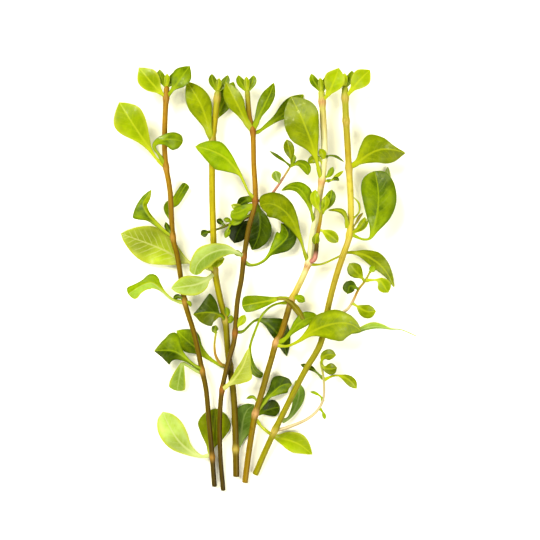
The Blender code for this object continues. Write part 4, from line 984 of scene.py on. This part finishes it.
def paper_material():
    """Smooth warm white paper, so it is matt, and shadows on it are soft and faintly tan."""
    made, tree = new_material("white_paper")
    # Fibres of about 1 mm.
    grain = add(tree, "TexNoise", {"Vector": add(tree, "TexCoord", out=3), "Scale": 900, "Detail": 3})
    normal = add(tree, "Bump", {"Strength": 0.1, "Distance": 0.0001, "Height": grain})
    shader = add(tree, "BsdfPrincipled", {
        "Base Color": linear("FDFBF2"), "Roughness": 0.9, "Metallic": 0, "IOR": 1.45, "Normal": normal,
    })
    add(tree, "OutputMaterial", {"Surface": shader}, out=None)
    return made


def leaf_finishes():
    """For each tone, the materials of a leaf's upper side and underside."""
    finishes = {}
    for tone, (upper, patch, lower, vein, shows, slot) in TONES.items():
        # A pale or lime leaf's margin takes a pale tint; the others' margins take the patch colour as painted
        # shade.
        rim_tint_and_shade = seen(PALE_RIM if slot == "leaf_pale" or tone == "lime" else patch)
        upper, patch, lower, vein = map(seen, (upper, patch, lower, vein))
        finishes[tone] = (
            leaf_material("waxy_leaf_" + tone, upper, patch, vein, shows, rim_tint_and_shade, False),
            leaf_material("leaf_underside_" + tone, lower, lower, vein, UNDERSIDE_VEINS, rim_tint_and_shade, True),
        )
    return finishes


def make_stems():
    """Each stem is thin at its tip, and its cut end shows its pith."""
    pith = cut_material()
    for name, (_, _, slot, route, *_) in STEMS.items():
        spine = even_points(route, STEM_STEP)
        radii = [stem_radius(name, point.y) for point in spine]
        radii[-1] *= 0.5
        piece = new_piece(name + "_skin")
        round_shoot(piece, spine, radii)
        stops = stem_stops(name)
        skin = shoot_material("stem_skin_" + name[-1], stops, SIDE_SHADE_DEPTHS[slot])
        obj = finished_piece(piece, [skin, pith], 1)
        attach(obj, BODY)
        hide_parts(name)


def make_side_shoots():
    """Each side shoot is a twig that tapers from its stem outwards."""
    for name, (radius, skins, route) in SHOOTS.items():
        spine = even_points(route, TWIG_STEP)
        radii = [radius * (1 - TWIG_TAPER * row / (len(spine) - 1)) for row in range(len(spine))]
        piece = new_piece(name + "_twig")
        round_shoot(piece, spine, radii)
        stops = [(share, linear(SKINS[skin], STEM_SHARE)) for share, skin in skins]
        twig = name.removeprefix("side_shoot_")
        obj = finished_piece(piece, [shoot_material("twig_skin_" + twig, stops, SIDE_SHADE_DEPTHS["side_shoot"])])
        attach(obj, BODY)
        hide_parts(name)


def exit_length(line, stem_line, radius):
    """How far along the line it leaves the stem's skin."""
    lengths = lengths_along(line)
    for point, length in zip(line, lengths):
        if min((point.xyz - other).length for other in stem_line) > radius:
            return length
    return 0


def make_leaves(finishes):
    """Each leaf's stalk starts inside its stem, so that it grows out of the skin."""
    for seed, (name, (tone, lifts, route)) in enumerate(LEAVES.items()):
        stem = "stem_" + name[len("leaf_")]
        # A leaf of two tones has one half painted lit and the other painted in shade.
        left, right = both_halves(tone)
        line = smooth_route([with_reach(point) for point in route])
        stem_line = smooth_route(STEMS[stem][3])
        bare = exit_length(line, stem_line, stem_radius(stem, route[0][1]) + STALK_CLEARANCE)
        piece = new_piece(name + "_blade")
        leaf_skin(piece, both_halves(lifts), line, bare, LEAF_ROUND, LEAF_ROWS, (0, 1, 2, 3), seed)
        obj = finished_piece(piece, [*finishes[left], *finishes[right]])
        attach(obj, BODY)
        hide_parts(name)


def add_small_leaf(piece, tone, lifts, line, bare, seed):
    """A small leaf of one tone, on a piece whose slots hold the finishes of every tone in turn."""
    upper = 2 * list(TONES).index(tone)
    slots = (upper, upper + 1, upper, upper + 1)
    leaf_skin(piece, lifts, line, bare, SMALL_LEAF_ROUND, SMALL_LEAF_ROWS, slots, seed)


def make_small_leaves(all_finishes):
    """The small leaves of one stem or twig are one piece."""
    for seed, (name, rows) in enumerate(SMALL_LEAVES.items()):
        piece = new_piece(name + "_small_leaves")
        for number, (tone, width, (roll, fold), petiole, route) in enumerate(rows):
            # A rolled leaf is narrower from above, and one half rises more than the other.
            seen_width = width * max(math.cos(math.radians(roll)), NARROWEST_SHARE)
            rise = math.tan(math.radians(fold))
            tilt = math.tan(math.radians(min(roll, STEEPEST_ROLL)))
            line = plain_outline(route, seen_width, petiole)
            leaf_seed = SMALL_LEAF_SEED + 10 * seed + number
            add_small_leaf(piece, tone, (rise + tilt, rise - tilt), line, SMALL_LEAF_BARE, leaf_seed)
        obj = finished_piece(piece, all_finishes)
        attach(obj, BODY)


def add_tip(piece, top, towards, seed):
    """A young growing tip: crossed pairs of small leaves around a bud, the outermost the longest."""
    chance = random.Random(seed)
    side = towards.cross(UP).normalized()
    face = side.cross(towards)
    # Each pair's length, width, spread, direction and tone.
    pairs = [(9.5, 4.2, 0.42, side, "green"), (7.0, 3.0, 0.34, face, "lime"), (4.2, 1.6, 0.12, side, "pale")]
    for number, (length, width, spread, way, tone) in enumerate(pairs):
        for sign in (-1, 1):
            reach = length * chance.uniform(0.92, 1.08)
            out = way * (sign * spread * reach)
            foot = top - towards * (1.6 - 0.7 * number)
            route = [
                foot,
                foot + towards * (0.3 * reach) + out * 0.35,
                foot + towards * (0.68 * reach) + out * 0.85,
                foot + towards * reach + out,
            ]
            line = plain_outline(route, width, 0.08)
            add_small_leaf(piece, tone, (0.45, 0.45), line, TIP_LEAF_BARE, seed + number * 7 + sign)


def make_growing_tips(all_finishes):
    """Every stem ends in a young growing tip."""
    for seed, (name, stem) in enumerate(STEMS.items()):
        line = smooth_route(stem[3])
        piece = new_piece(name + "_growing_tip")
        add_tip(piece, line[-1], (line[-1] - line[-5]).normalized(), TIP_SEED + 20 * seed)
        obj = finished_piece(piece, all_finishes)
        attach(obj, BODY)


def make_floor():
    """A sheet of paper that reaches past the picture on every side."""
    shape = bmesh.new()
    bmesh.ops.create_grid(shape, x_segments=1, y_segments=1, size=FLOOR_REACH)
    mesh = bpy.data.meshes.new("floor")
    shape.to_mesh(mesh)
    shape.free()
    mesh.materials.append(paper_material())
    floor = bpy.data.objects.new("floor", mesh)
    bpy.context.scene.collection.objects.link(floor)


def add_lamp(name, place, strength, wide, colour):
    """A large soft lamp far off in the direction of this place, so the floor is lit evenly to its edge."""
    lamp = bpy.data.lights.new(name, "SUN")
    lamp.angle = math.radians(wide)
    lamp.energy = strength
    lamp.color = linear(colour)[:3]
    obj = bpy.data.objects.new(name, lamp)
    obj.rotation_euler = (-Vector(place)).to_track_quat("-Z", "Y").to_euler()
    bpy.context.scene.collection.objects.link(obj)


def make_studio():
    """A white room with brighter walls, a large soft lamp above the upper left and a weaker one opposite."""
    world = bpy.data.worlds.new("white_room")
    world.use_nodes = True
    tree = world.node_tree
    tree.nodes.clear()
    direction = add(tree, "SeparateXYZ", {0: add(tree, "TexCoord")})
    light = add(tree, "MapRange", {
        "Value": direction.node.outputs[2], "From Min": 0.03, "From Max": 0.36,
        "To Min": WALL_LIGHT, "To Max": CEILING_LIGHT,
    }, interpolation_type="SMOOTHSTEP")
    room = add(tree, "Background", {"Color": linear("FBFBEC"), "Strength": light})
    add(tree, "OutputWorld", {"Surface": room}, out=None)
    bpy.context.scene.world = world
    add_lamp("soft_key", (-0.5, 0.5, 0.75), KEY_LIGHT, 34, "FAF6DC")
    add_lamp("soft_fill", (0.55, -0.45, 0.85), FILL_LIGHT, 42, "FAF8E4")


def make_camera():
    """A camera that looks straight down, with the photograph's width just in view at the bunch's height."""
    scene = bpy.context.scene
    camera = bpy.data.cameras.new("view_from_above")
    camera.sensor_width = 36
    camera.lens = camera.sensor_width * (CAMERA_HEIGHT - BUNCH_MIDDLE_HEIGHT) / PHOTO_WIDTH
    camera.clip_start = 0.01
    camera.clip_end = 20
    obj = bpy.data.objects.new("view_from_above", camera)
    obj.location = (PHOTO_MIDDLE + SHIFT + CAMERA_HEIGHT * UP) * MM
    scene.collection.objects.link(obj)
    scene.camera = obj
    scene.view_settings.view_transform = "Standard"
    scene.view_settings.look = "None"


finishes = leaf_finishes()
all_finishes = [finish for pair in finishes.values() for finish in pair]
make_stems()
make_side_shoots()
make_leaves(finishes)
make_small_leaves(all_finishes)
make_growing_tips(all_finishes)
make_floor()
make_studio()
make_camera()
